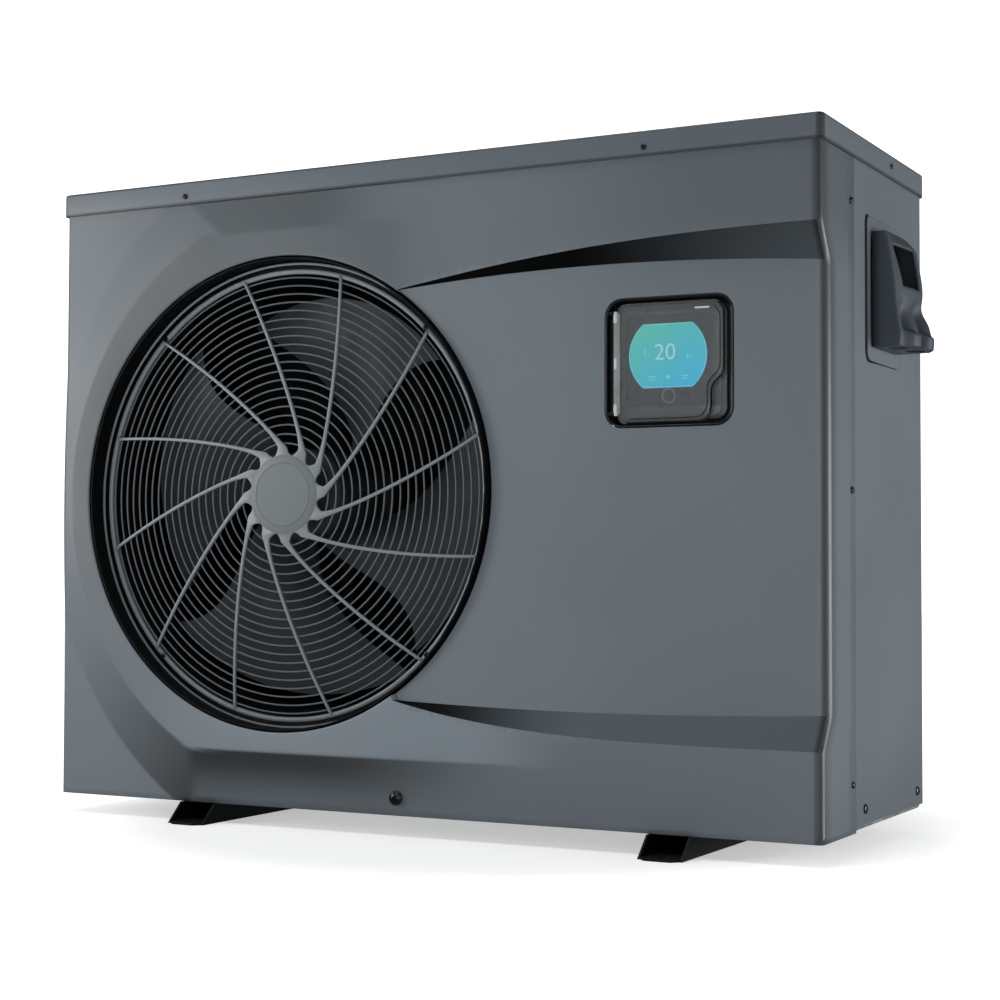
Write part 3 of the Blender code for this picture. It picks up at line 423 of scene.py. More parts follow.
rubber = moulded("rubber", (0.012, 0.012, 0.012), 0.8, 500.0, 0.0002)
white_plastic = moulded("white_plastic", (0.62, 0.63, 0.61), 0.45)
black_steel = powder_coat("black_steel", (0.012, 0.012, 0.013), 0.38)
galvanised = spangle("galvanised")
copper = worn_metal("copper", (0.62, 0.28, 0.15), 0.30)
brass = worn_metal("brass", (0.62, 0.44, 0.18), 0.32)
# The inner row of fins and the coil tubes, seen through the fan, are near black as painted shade;
# the outer row, seen from behind, is grey.
fin_metal = moulded(
    "inner_fins_painted_shade", (0.012, 0.014, 0.016), 0.65, 1400.0, 0.00003).set("Specular IOR Level", 0.10)
fin_outer = moulded("outer_fins", (0.105, 0.115, 0.122), 0.55, 1400.0, 0.00003)
# Near-black dull finish: the dark mouth wall and orifice ring, and painted shade in grooves, gaps
# and edges.
black_and_shade = moulded(
    "black_and_painted_shade", (0.0020, 0.0022, 0.0026), 0.60).set("Specular IOR Level", 0.15)
screw_metal = worn_metal("screw_steel", (0.055, 0.060, 0.068), 0.34, (1, 1, 1), 400.0)
strip_plastic = moulded("strip_plastic", (0.18, 0.187, 0.190), 0.30)
knuckle_and_highlight_plastic = moulded("knuckle_and_highlight_plastic", (0.42, 0.44, 0.45), 0.25)
mark_ink = moulded("mark_ink", (0.30, 0.34, 0.35), 0.40)
green_board = moulded("board_laminate", (0.010, 0.060, 0.028), 0.35)


def glass_material():
    """Smoked clear plastic of the door, with faint moulding waves."""
    made = Nodes("smoked_glass", (0.15, 0.16, 0.165), 0.07)
    made.mottle(8.0, 0.06).rough(60.0, 0.05, 0.10)
    made.set("Alpha", 0.24).set("IOR", 1.47)
    made.bump(made.noise(30.0, 2.0), 0.0002, 0.15)
    return made


def face_material(name, colour):
    """Dark display face under the door, with a soft satin haze."""
    made = Nodes(name, colour, 0.30)
    made.mottle(30.0, 0.08).rough(80.0, 0.24, 0.36)
    made.bump(made.noise(1200.0, 2.0), 0.00002, 0.3)
    return made


def screen_material():
    """Lit screen: teal at the upper left to blue at the lower right, with a fine pixel grid."""
    made = Nodes("lcd_screen", (0.010, 0.020, 0.022), 0.25)
    tilt = made.tree.nodes.new("ShaderNodeVectorMath")
    tilt.operation = "DOT_PRODUCT"
    upward, leftward = 0.83, -0.55
    tilt.inputs[1].default_value = (leftward, 0.0, upward)
    made.link(made.coords, tilt.inputs[0])
    centre = upward * (POCKET_Z + SCREEN.z) + leftward * (POCKET_X + SCREEN.x)
    share = made.ranged(tilt.outputs["Value"], 0.0, 1.0, centre - 0.040, centre + 0.044)
    blend = made.mix(share, (0.004, 0.430, 0.690), (0.070, 0.520, 0.400))
    grid = made.tree.nodes.new("ShaderNodeTexWave")
    grid.bands_direction = "Z"
    grid.inputs["Scale"].default_value = 900.0
    made.link(made.coords, grid.inputs["Vector"])
    fine = made.ranged(grid.outputs["Fac"], 0.0, 0.10, 0.0, 1.0)
    lit = made.mix(fine, blend, (0.10, 0.62, 0.72))
    made.link(lit, made.shader.inputs["Emission Color"])
    made.set("Emission Strength", 1.25)
    return made


def glow_material(name, first, second, strength):
    """Pale lit marks on the screen, slightly uneven."""
    made = Nodes(name, (0.08, 0.14, 0.16), 0.4)
    uneven = made.ranged(made.noise(300.0), 0.0, 1.0)
    lit = made.mix(uneven, first, second)
    made.link(lit, made.shader.inputs["Emission Color"])
    made.set("Emission Strength", strength)
    return made


glass = glass_material()
face_dark = face_material("display_face", (0.050, 0.055, 0.058))
face_rim = face_material("display_rim", (0.088, 0.095, 0.100))
screen_lit = screen_material()
marks_lit = glow_material("screen_digits_lit", (0.34, 0.66, 0.74), (0.40, 0.72, 0.79), 1.10)
marks_faint = glow_material("screen_marks_lit", (0.14, 0.60, 0.74), (0.18, 0.64, 0.78), 1.00)

SLOTS = {
    "cabinet_paint": (panel_paint,),
    "guard_paint": (guard_paint, hub_paint, wire_paint),
    "black_plastic": (black, black_gloss, black_and_shade, rotor_plastic),
    "dark_plastic": (slate,),
    "black_glass": (face_dark, face_rim, mark_ink),
    "screen": (screen_lit, marks_lit, marks_faint),
    "smoked_glass": (glass, strip_plastic, knuckle_and_highlight_plastic),
    "coil_aluminium": (fin_metal, fin_outer),
    "screw_steel": (screw_metal,),
}
for slot_name, looks in SLOTS.items():
    for look in looks:
        look.slot = slot_name


# ---- front panel ----
def flank_parts(x, z):
    """How far down the arc flank and the straight flank a point lies, 0 top to 1 foot."""
    rise = abs(z - FAN.z)
    inner = math.hypot(min(x - FLAT_IN[0], 0.0), rise) - FLAT_IN[1]
    outer = FLAT_OUT[1] - math.hypot(min(x - FLAT_OUT[0], 0.0), rise)
    half = FLAT_HALF if z > FAN.z else FLAT_HALF_LOW
    return inner / max(inner + outer, 0.004), (rise - half) / BAND


def flank(x, z):
    """Share of the way down the plateau's flank, with the roofline corner rounded."""
    first, second = flank_parts(x, z)
    soft = 0.12 * max(0.0, 1 - max(0.0, first, second) / 0.22) + 0.008
    return 0.5 * (first + second + math.hypot(first - second, soft))


def field_lines(u):
    """Heights of the four lines that bound the swept edges at a place across the panel."""
    s = min(1.0, max(0.0, (u - FIELD_X0) / FIELD_SPAN))
    top_front = 0.6170 + 0.0405 * (1 - (1 - s) ** 2.3)
    top_deep = 0.6170 + 0.0465 * s * (1.05 - s)
    low_deep = 0.1530 - 0.0235 * s * (1.04 - s)
    low_front = 0.1530 - 0.0364 * (1 - (1 - s) ** 3.6)
    return top_front, top_deep, low_deep, low_front


def field_share(u, z):
    """0 outside the recessed field, 1 on it, and between along its swept edges."""
    if u <= FIELD_X0:
        return 0.0
    top_front, top_deep, low_deep, low_front = field_lines(u)
    if z > FAN.z:
        return min(1.0, max(0.0, (top_front - z) / max(top_front - top_deep, 0.0004)))
    return min(1.0, max(0.0, (z - low_front) / max(low_deep - low_front, 0.0004)))


def pocket_gap(x, z):
    """Distance outside the control pocket's opening."""
    dx = abs(x - POCKET_X) - (POCKET_HALF_W - POCKET_R)
    dz = abs(z - POCKET_Z) - (POCKET_HALF_H - POCKET_R)
    outside = math.hypot(max(dx, 0.0), max(dz, 0.0))
    return outside + min(max(dx, dz), 0.0) - POCKET_R


def panel_depth(x, z):
    """Y of the panel's face."""
    t = flank(x, z)
    height = 1 - 0.5 * (math.hypot(t, 0.025) - math.hypot(1 - t, 0.025) + 1)
    first, second = flank_parts(x, z)
    if z < FAN.z:
        height = height ** (1 + 0.8 * smooth(second - first, 0.0, 0.05))
    fade_start, fade = (-0.080, 0.115) if z > FAN.z else (-0.050, 0.150)
    height *= 1 - smooth(x, fade_start, fade_start + fade)
    outside = FACE_Y - RISE * height
    inside = FACE_Y + FIELD_SLOPE * max(0.0, x - FIELD_X0)
    y = outside + (inside - outside) * field_share(x, z)
    if z > LID_LOW.z - 0.001:
        y = max(y, FACE_Y)
    gap = min(pocket_gap(x, z), math.hypot(x - FAN.x, z - FAN.z) - HOLE_R)
    if gap < LIP_R:
        y += LIP_R - math.sqrt(max(0.0, LIP_R ** 2 - (LIP_R - gap) ** 2))
    return y


def panel_point(u, z):
    """Place on the panel of a spot at u across its unrolled width."""
    inward = 1 if u < FAN.x else -1
    edge = PANEL_LOW.x if inward > 0 else PANEL_HIGH.x
    start = edge + inward * CORNER_START
    past = (start - u) * inward
    if past <= 0:
        return Vector((u, panel_depth(u, z), z))
    share = field_share(PANEL_HIGH.x, z) if inward < 0 else 0.0
    radius = CORNER_R + (FIELD_CORNER_R - CORNER_R) * share
    straight = CORNER_START - radius
    y_face = panel_depth(edge + inward * radius, z)
    along = past / CORNER_LENGTH * (straight + math.pi / 2 * radius)
    if past <= CORNER_LENGTH:
        if along <= straight:
            x = start - inward * along
            return Vector((x, panel_depth(x, z), z))
        angle = (along - straight) / radius
        return Vector((edge + inward * (radius - radius * math.sin(angle)),
                       y_face + radius * (1 - math.cos(angle)), z))
    share = (past - CORNER_LENGTH) / SIDE_LENGTH
    return Vector((edge, y_face + radius + (PANEL_HIGH.y - y_face - radius) * share, z))


def painted_panel_shade(u, z, wall):
    """Painted shade and painted light for the panel's paint: darker folds and walls, lighter and
    darker flanks and plateau.
    """
    # Painted shade: a dark line down the front-right corner, and the face darker towards its upper
    # right.
    turn = (u - FACE_X1) / CORNER_LENGTH
    corner = 1 - 0.60 * smooth(turn, 0.08, 0.42) * (1 - smooth(turn, 0.98, 1.12))
    corner *= 1 - 0.26 * smooth(z, 0.60, 0.68) * smooth(u, 0.0, 0.42)
    s = min(1.0, max(0.0, (u - FIELD_X0) / FIELD_SPAN))
    # Painted shade on the walls of the swept edges, near black at their left ends.
    if wall:
        if z > FAN.z:
            tone = 0.01 + 0.43 * smooth(s, 0.42, 1.05)
        else:
            tone = 0.02 + 0.76 * smooth(s, 0.08, 0.48)
        return corner * (tone + (1 - tone) * smooth(turn, 0.45, 0.60))
    if turn > 0.0:
        return corner
    # Painted light: the recessed field is lighter towards its left.
    if field_share(u, z) > 0.0:
        return corner * (1 + 0.24 * (1 - smooth(u, 0.02, 0.42)))
    # Painted shade and painted light round the plateau: upper left darker, lower left lighter,
    # straight bands darker, arc flank darker towards the bottom, outside face lighter at lower
    # left.
    first, second = flank_parts(u, z)
    angle = 90 + math.degrees(math.atan2(FAN.z - z, max(FLAT_IN[0] - u, 0.0)))
    low = smooth(angle, 125.0, 165.0)
    shade = (0.31 + 0.20 * smooth(angle, 5.0, 45.0)) * (1 - smooth(angle, 84.0, 130.0))
    plateau = 1 - shade * (1 - smooth(u, -0.09, 0.0)) + 0.58 * low * (1 - smooth(u, 0.04, 0.20))
    if z > FAN.z:
        band = 1 - 0.46 * (1 - smooth(u, -0.16, -0.02))
        inside = smooth(u - MITRE_X + MITRE_LEAN * second, -0.002, 0.004)
    else:
        deep = 0.75 * (1 - smooth(second, 0.10, 0.75)) + 0.25
        band = 1 - 0.82 * deep * (1 - smooth(u, -0.16, 0.14))
        inside = smooth(second - first, -0.06, 0.06)
    arc_tone = 0.80 + 0.20 * smooth(angle, 45.0, 100.0) - 0.72 * smooth(angle, 118.0, 165.0)
    slope = arc_tone + (band - arc_tone) * inside
    outer = 0.87 + 0.13 * smooth(angle, 70.0, 110.0) + 0.14 * smooth(angle, 115.0, 140.0)
    down = max(first, second)
    tone = plateau + (slope - plateau) * smooth(down, -0.02, 0.03)
    return corner * (tone + (outer - tone) * smooth(down, 0.97, 1.03))


def root(test, low, high):
    """Where a rising function of one number crosses zero, or None."""
    if test(low) > 0 or test(high) < 0:
        return None
    for _ in range(40):
        middle = (low + high) / 2
        if test(middle) > 0:
            high = middle
        else:
            low = middle
    return (low + high) / 2


def flank_lines(left):
    """Level lines of the flank, and its two mitre lines, as runs of (x, z) points."""
    z0, z1 = PANEL_LOW.z + 0.001, LID_LOW.z - 0.0025
    rays = [(FLAT_IN[0] + 0.0055 * i, 0.0, 1.0) for i in range(50, 0, -1)]
    rays += [(FLAT_IN[0], -math.sin(math.radians(a * 0.8)), math.cos(math.radians(a * 0.8)))
             for a in range(226)]
    rays += [(FLAT_IN[0] + 0.0055 * i, 0.0, -1.0) for i in range(1, 51)]
    runs = []
    for level in (-0.035, 0.0, 0.035, 0.09, 0.30, 0.50, 0.70, 0.91, 0.965, 1.0, 1.035):
        run = []
        for x, dx, dz in rays:
            far = root(lambda r: flank(x + dx * r, FAN.z + dz * r) - level, 0.28, 0.42)
            spot = far and (x + dx * far, FAN.z + dz * far)
            if spot and spot[0] > left and z0 < spot[1] < z1:
                run.append(spot)
            else:
                runs.append(run)
                run = []
        runs.append(run)
    for hand in (-1, 1):
        run = []
        for i in range(21):
            t = 0.20 + 0.80 * i / 20
            z = FAN.z + hand * ((FLAT_HALF if hand > 0 else FLAT_HALF_LOW) + BAND * t)
            x = root(lambda place: t - flank_parts(place, z)[0], -0.42, FLAT_IN[0])
            if x is not None and z0 < z < z1:
                run.append((x, z))
        runs.append(run)
    runs.append([(MITRE_X - MITRE_LEAN * 0.05 * i, FAN.z + FLAT_HALF + BAND * 0.05 * i)
                 for i in range(11)])
    return [run for run in runs if len(run) > 1]


def swept_edge_lines(across):
    """Lines along the two swept edges of the field, drawn at these places across."""
    lines = []
    for share in (0.0, 0.25, 0.5, 0.75, 1.0):
        border = share in (0.0, 1.0)
        for outer, deep in ((0, 1), (3, 2)):
            run = [(FIELD_X0, field_lines(FIELD_X0)[outer])] if border else []
            for u in across:
                first, second = field_lines(u)[outer], field_lines(u)[deep]
                if border or abs(first - second) > 0.008:
                    run.append((u, first + (second - first) * share))
            lines.append(run)
    return lines


def panel_net():
    """Points and faces of the unrolled panel: lines that its relief needs, then a grid."""
    u_left, u_right = (FACE_X0 - CORNER_LENGTH - SIDE_LENGTH,
                       FACE_X1 + CORNER_LENGTH + SIDE_LENGTH)
    z0, z1 = PANEL_LOW.z, PANEL_HIGH.z
    points, edges = [], []

    def line(run, closed=False):
        base = len(points)
        points.extend(run)
        edges.extend((base + i, base + i + 1) for i in range(len(run) - 1))
        if closed:
            edges.append((base + len(run) - 1, base))

    columns = [u_left + SIDE_LENGTH * i / 4 for i in range(4)]
    columns += [FACE_X0 - CORNER_LENGTH + CORNER_LENGTH * i / 10 for i in range(10)]
    steps = round((FACE_X1 - FACE_X0) / GRID)
    columns += [FACE_X0 + (FACE_X1 - FACE_X0) * i / steps for i in range(steps)]
    columns += [FACE_X1 + CORNER_LENGTH * i / 10 for i in range(10)]
    columns += [u_right - SIDE_LENGTH * (4 - i) / 4 for i in range(5)]
    rows = round((z1 - z0) / GRID)
    fine = range(int((FACE_X1 - FIELD_X0) / FINE_GRID))
    across = [FIELD_X0 + 0.004 + FINE_GRID * i for i in fine]
    across = [u for u in across if u < FACE_X1 - 0.002] + [u for u in columns if u >= FACE_X1]
    for run in swept_edge_lines(across):
        line(run)
    for gap in (0.0, 0.004, 0.0003, 0.0008, LIP_R):
        line(arc(FAN.x, FAN.z, HOLE_R + gap, 0, 360, 360)[:-1], True)
    for gap in (0.0, 0.0003, 0.0008, LIP_R):
        line(rounded(POCKET_X - POCKET_HALF_W - gap, POCKET_Z - POCKET_HALF_H - gap,
                     POCKET_X + POCKET_HALF_W + gap, POCKET_Z + POCKET_HALF_H + gap,
                     POCKET_R + gap), True)
    for drop in (0.0013, 0.0009):
        line([(u, LID_LOW.z - drop) for u in columns[3:-4]])
    for run in flank_lines(FACE_X0):
        line(run)
    tree = KDTree(len(points))
    for i, (u, z) in enumerate(points):
        tree.insert((u, z, 0), i)
    tree.balance()
    for u in columns:
        for j in range(rows + 1):
            z = z0 + (z1 - z0) * j / rows
            border = j in (0, rows) or u in (columns[0], columns[-1])
            clear = tree.find((u, z, 0))[2] > GRID_GAP
            clear = clear and math.hypot(u - FAN.x, z - FAN.z) > HOLE_R and pocket_gap(u, z) > 0
            if border or clear:
                points.append((u, z))
    net = delaunay_2d_cdt([Vector(point) for point in points], edges, [], 0, 1e-6)
    return net[0], net[2]


def front_panel():
    """Pressed sheet: the unrolled net without its two openings, folded by panel_point."""
    points, faces = panel_net()
    kept, walls = [], []
    for face in faces:
        u = sum(points[i].x for i in face) / len(face)
        z = sum(points[i].y for i in face) / len(face)
        if math.hypot(u - FAN.x, z - FAN.z) > HOLE_R - 0.0002 and pocket_gap(u, z) > 0:
            kept.append(face)
            walls.append(0.0 < field_share(u, z) < 1.0 and u < FACE_X1 + 0.5 * CORNER_LENGTH)
    used = sorted({i for face in kept for i in face})
    index = {old: new for new, old in enumerate(used)}
    bm = bmesh.new()
    made = [bm.verts.new(panel_point(*points[i])) for i in used]
    # Each corner carries its painted shade and painted light in the "tone" layer.
    layer = bm.loops.layers.float_color.new("tone")
    for face, wall in zip(kept, walls):
        sheet_face = bm.faces.new([made[index[i]] for i in face])
        for loop, i in zip(sheet_face.loops, face):
            value = painted_panel_shade(*points[i], wall)
            loop[layer] = (value, value, value, 1.0)
    bmesh.ops.recalc_face_normals(bm, faces=bm.faces)
    if sum(face.normal.y for face in bm.faces) > 0:
        bmesh.ops.reverse_faces(bm, faces=bm.faces)
    mesh = mesh_of(bm, "front_panel_skin")
    skin = finish_piece("front_panel_skin", mesh, panel_paint, 21.0)
    mesh.materials.append(shaded_wall_paint.material)
    mesh.materials.append(black.material)
    mesh.polygons.foreach_set("material_index", [int(wall) for wall in walls])
    sheet = skin.modifiers.new("sheet", "SOLIDIFY")
    sheet.thickness = SHEET
    sheet.offset = -1.0
    sheet.material_offset_rim = 2
    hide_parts("front_panel")


def mouth_wall():
    """Dark ring behind the round opening, which follows the panel's relief; its near-black finish
    also paints the shade inside the opening.
    """
    centre = Vector((FAN.x, 0, FAN.z))
    inner, outer = HOLE_R - 0.0001, HOLE_R + 0.0020
    verts, faces = [], []
    for i in range(RING_STEPS):
        angle = 360 * i / RING_STEPS
        at = centre + around(HOLE_R + 0.0030, angle)
        start = panel_depth(at.x, at.z) + 0.0011
        for radius, y in ((inner, start), (inner, WALL_END), (outer, WALL_END), (outer, start)):
            verts.append(centre + around(radius, angle, y))
        faces += between(4 * i, 4 * ((i + 1) % RING_STEPS), 4)
    solid("mouth_wall", verts, faces, black_and_shade, sharp=35.0)


# ---- lid ----
def lid_ring(inset, z, radius):
    """Plan outline of the lid, drawn in by inset, as points anticlockwise from the front right."""
    points = rounded(LID_LOW.x + inset, LID_LOW.y + inset, LID_HIGH.x - inset,
                     LID_HIGH.y - inset, radius, 12)
    return [(x, y, z) for x, y in points[-13:] + points[:-13]]


def lid():
    """Pressed lid: soft upper edge, rounded corners and a folded skirt."""
    corner, edge, thick = 0.0080, 0.0030, SHEET
    rings = []
    for i in range(6):
        a = math.radians(18 * i)
        inset = edge * (1 - math.sin(a))
        rings.append(lid_ring(inset, LID_HIGH.z - edge * (1 - math.cos(a)), corner - inset))
    for lift in (0.0034, 0.0022, 0.0004):
        rings.append(lid_ring(0.0, LID_LOW.z + lift, corner))
    rings.append(lid_ring(0.0004, LID_LOW.z, corner - 0.0004))
    rings.append(lid_ring(thick, LID_LOW.z, corner - thick))
    rings.append(lid_ring(thick, LID_HIGH.z - edge, corner - thick))
    rings.append(lid_ring(edge + thick, LID_HIGH.z - thick, corner - edge - thick))
    count = len(rings[0])
    verts = [point for ring in rings for point in ring]
    faces = []
    for i in range(len(rings) - 1):
        faces += between(i * count, (i + 1) * count, count)
    faces.append(list(range(count)))
    faces.append(list(range((len(rings) - 1) * count, len(rings) * count)))
    shell = solid("lid_shell", verts, faces, panel_paint,
                  sharp=35.0)
    # Painted shade in the lid's "tone": a dark front-right corner, the front darker towards the
    # right, and dark lines along the skirt and upper rim near the front and right.
    layer = shell.data.color_attributes.new("tone", "FLOAT_COLOR", "POINT")
    for vertex, value in zip(shell.data.vertices, layer.data):
        round_x = vertex.co.x - (LID_HIGH.x - corner)
        round_y = (LID_LOW.y + corner) - vertex.co.y
        tone = 0.45 if round_x > 0.0005 and round_y > 0.0005 else 1.0
        if round_y > 0:
            tone *= 1 - 0.24 * smooth(vertex.co.x, 0.0, 0.42)
        skirt = vertex.co.z < LID_LOW.z + 0.0028
        rim = LID_HIGH.z - edge * 0.75 < vertex.co.z < LID_HIGH.z - 0.0001
        if (round_x > -corner or round_y > -corner) and (skirt or rim):
            tone *= 0.42 if skirt else 0.55 - 0.25 * smooth(vertex.co.x, -0.3, 0.0)
        value.color = (tone, tone, tone, 1.0)
    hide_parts("top_cover")


# ---- fan guard ----
GUARD_Y = GUARD_HIGH.y - 0.0040
DOME = 0.0080
GUARD_AT = Vector((FAN.x, 0, FAN.z - 0.0012))
RIBS = 12
RIB_START_R, RIB_END_R = 0.0560, 0.2640


def dome_y(radius):
    """Y of the guard's front surface at a radius."""
    return GUARD_Y - DOME * (1 - (radius / GUARD_R) ** 2)


def rib_angle(radius):
    """Angle of a swirl rib's middle line at a radius, in degrees."""
    return 16.2 - 2.527 / radius + 27.9 * radius


def guard_spider():
    """Hub plate with its twelve swirl ribs, cut as one sheet and domed."""
    outline = []
    for k in range(RIBS):
        edges = {}
        for hand in (-1, 1):
            run = []
            for i in range(25):
                radius = RIB_START_R + (RIB_END_R - RIB_START_R) * (i / 24) ** 1.35
                flare = 0.0036 * math.exp(-(radius - RIB_START_R) / 0.010)
                width = 0.0025 - 0.0007 * i / 24 + flare
                angle = 30 * k + rib_angle(radius) + hand * math.degrees(width / radius)
                run.append((radius, angle))
            edges[hand] = run
        outline += edges[-1] + edges[1][::-1]
        first = edges[1][0]
        second = (RIB_START_R, 30 * (k + 1) + rib_angle(RIB_START_R)
                  - math.degrees(0.0060 / RIB_START_R))
        for i in range(1, 8):
            t = i / 8
            dip = 0.0090 * math.sin(math.pi * t) ** 0.7
            outline.append((first[0] - dip, first[1] + (second[1] - first[1]) * t))
    points = [around(radius, angle).xz for radius, angle in outline]
    centre_hole = list(reversed(arc(0, 0, 0.0415, 0, 360, 48)[:-1]))
    spider = plate("guard_ribs", [points, centre_hole], -0.0017, 0.0017, 0.0011,
                   guard_paint, Matrix.Translation(GUARD_AT))
    for vertex in spider.data.vertices:
        radius = math.hypot(vertex.co.x - GUARD_AT.x, vertex.co.z - GUARD_AT.z)
        vertex.co.y += dome_y(radius) + 0.0017
    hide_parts("fan_guard")


def fan_guard():
    """Ribs, concentric wires, the outer band with its groove lined near-black as painted shade,
    and the hub disc.
    """
    guard_spider()
    wires = []
    for i in range(20):
        radius = 0.0605 + 0.01105 * i - 0.0000375 * i * i
        y = dome_y(radius) + 0.0034
        ring = [GUARD_AT + around(radius, angle, y) for angle in range(0, 360, 3)]
        wires.append(sweep(ring, 0.00108, 7, True))
    solid("guard_wires", *merged(wires), wire_paint, sharp=80.0)
    y = GUARD_Y
    band = [(0.2612, y + 0.0060), (0.2612, y + 0.0022), (0.2618, y + 0.0013), (0.2630, y + 0.0009),
            (0.2652, y + 0.0009), (0.2662, y + 0.0014), (0.2668, y + 0.0024), (0.2670, y + 0.0050),
            (0.2712, y + 0.0050), (0.2714, y + 0.0002), (0.2720, y - 0.0010), (0.2732, y - 0.0012),
            (0.2742, y - 0.0006), (0.2745, y + 0.0006), (0.2745, y + 0.0060)]
    # Near-black liner in the band's groove: painted shade.
    groove = [(0.2671, y + 0.0049), (0.2671, y + 0.0044), (0.2708, y + 0.0044),
              (0.2708, y + 0.0004), (0.2713, y + 0.0004), (0.2713, y + 0.0049)]
    solid("guard_groove_shade", *lathe(groove, RING_STEPS, GUARD_AT), black_and_shade, sharp=45.0)
    solid("guard_band", *lathe(band, RING_STEPS, GUARD_AT), guard_paint, sharp=45.0)
    y = dome_y(0.042)
    hub = [(0.0, y - 0.0017), (0.0200, y - 0.0016), (0.0366, y - 0.0014), (0.0370, y - 0.0009),
           (0.0376, y - 0.0009), (0.0380, y - 0.0013), (0.0440, y - 0.0010), (0.0464, y - 0.0003),
           (0.0468, y + 0.0012), (0.0440, y + 0.0016), (0.0, y + 0.0010)]
    solid("guard_hub", *lathe(hub, 96, GUARD_AT, False), hub_paint, sharp=25.0)


# ---- fan rotor ----
BLADES = 4
SPAN_STEPS, CHORD_STEPS = 21, 25
BLADE_ROOT_R, BLADE_TIP_R = 0.0500, 0.2395


def fan_rotor():
    """Four broad swept blades with thick roots on a stepped hub."""
    centre = Vector((FAN.x, 0, FAN.z))
    parts = []
    hub = [(0.0120, -0.1440), (0.0380, -0.1440), (0.0480, -0.1425), (0.0540, -0.1370),
           (0.0550, -0.1300), (0.0550, -0.0650), (0.0520, -0.0640), (0.0120, -0.0640)]
    parts.append(lathe(hub, 72, centre))
    for k in range(BLADES):
        front, back = [], []
        for i in range(SPAN_STEPS):
            s = i / (SPAN_STEPS - 1)
            radius = BLADE_ROOT_R + (BLADE_TIP_R - BLADE_ROOT_R) * s
            for j in range(CHORD_STEPS):
                t = j / (CHORD_STEPS - 1)
                t_edge = t + 0.04 * math.sin(math.pi * s) * (1 - 2 * t)
                angle = 21.5 + 90 * k + 63.8 * s - 45.4 * s * s + (36 + 42 * s) * t_edge
                y = -0.1400 + 0.0740 * (t_edge ** 1.1) * (1 - 0.25 * s) + 0.006 * s
                thick = 0.0011 + 0.0016 * math.sin(math.pi * t) + 0.0015 * (1 - s) ** 2
                place = centre + around(radius, angle, y)
                front.append(place - Vector((0, thick, 0)))
                back.append(place + Vector((0, thick, 0)))
        count = SPAN_STEPS * CHORD_STEPS
        faces = []
        for i in range(SPAN_STEPS - 1):
            for a in range(i * CHORD_STEPS, (i + 1) * CHORD_STEPS - 1):
                b, c, d = a + 1, a + CHORD_STEPS + 1, a + CHORD_STEPS
                faces.append([a, b, c, d])
                faces.append([count + d, count + c, count + b, count + a])
        rim = list(range(CHORD_STEPS)) + list(range(2 * CHORD_STEPS - 1, count, CHORD_STEPS))
        rim += list(range(count - 2, count - CHORD_STEPS, -1))
        rim += list(range(count - CHORD_STEPS, 0, -CHORD_STEPS))
        for a, b in zip(rim, rim[1:] + rim[:1]):
            faces.append([a, b, count + b, count + a])
        parts.append((front + back, faces))
    rotor = solid("rotor_blades", *merged(parts), rotor_plastic, sharp=50.0, body="fan")
    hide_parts("fan_rotor")


# ---- screws ----
def pan_screw(name, at, axis, radius, height, nodes=()):
    """Domed screw head with a cross recess."""
    turn = Vector((0, 0, 1)).rotation_difference(axis).to_matrix().to_4x4()
    matrix = Matrix.Translation(at) @ turn @ Matrix.Rotation(math.radians(20), 4, "Z")
    steps, rings = 32, 9
    verts = []
    for i in range(rings):
        share = i / (rings - 1)
        r = radius * share
        for x, y in arc(0, 0, r, 0, 360, steps)[:-1]:
            z = height * (0.45 + 0.55 * math.sqrt(max(0.0, 1 - share ** 2)))
            arm = 0.17 * radius
            if (abs(x) < arm or abs(y) < arm) and r < 0.62 * radius:
                z -= 0.5 * height
            verts.append((x, y, z))
    faces = []
    verts += [(x, y, 0.0) for x, y in arc(0, 0, radius, 0, 360, steps)[:-1]]
    for i in range(rings):
        faces += between(i * steps, (i + 1) * steps, steps)
    faces.append(list(range(rings * steps, (rings + 1) * steps)))
    bm = bmesh.new()
    made = [bm.verts.new(point) for point in verts]
    for face in faces:
        bm.faces.new([made[i] for i in face])
    bmesh.ops.remove_doubles(bm, verts=bm.verts, dist=0.00001)
    bmesh.ops.recalc_face_normals(bm, faces=bm.faces)
    mesh = mesh_of(bm, name)
    mesh.transform(matrix)
    head = finish_piece(name, mesh, screw_metal, 40.0)
    if nodes:
        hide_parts(*nodes)


def screws():
    """Heads in place of the CAD screws, a cup washer, and four small screws on the guard."""
    for node in ("lid_screw_front_left", "lid_screw_front_right", "lid_screw_side",
                 "flange_screw_low", "flange_screw_middle", "flange_screw_high",
                 "base_screw_side_front", "base_screw_side_rear", "base_screw_front"):
        low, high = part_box(node)
        faces_side = "side" in node or "flange" in node
        axis = RIGHTWARD if faces_side else FRONTWARD
        height = abs((high - low).dot(axis))
        at = (low + high) / 2 - axis * height / 2
        pan_screw(node + "_head", at, axis, (high.z - low.z) / 2, height, (node,))
    low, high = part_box("base_screw_front")
    at = (low + high) / 2
    cup = [(0.0052, 0.0), (0.0052, -0.0014), (0.0064, -0.0018), (0.0078, -0.0010), (0.0082, 0.0),
           (0.0082, 0.0006), (0.0052, 0.0006)]
    at.y = high.y
    solid("base_screw_washer", *lathe(cup, 48, at), black_gloss,
          sharp=50.0)
    for k, angle in enumerate((45, -44, -133, 133)):
        at = GUARD_AT + around(RIB_END_R + 0.0001, angle, GUARD_Y + 0.0013)
        pan_screw(f"guard_screw_{k + 1}", at, FRONTWARD, 0.0034, 0.0018)


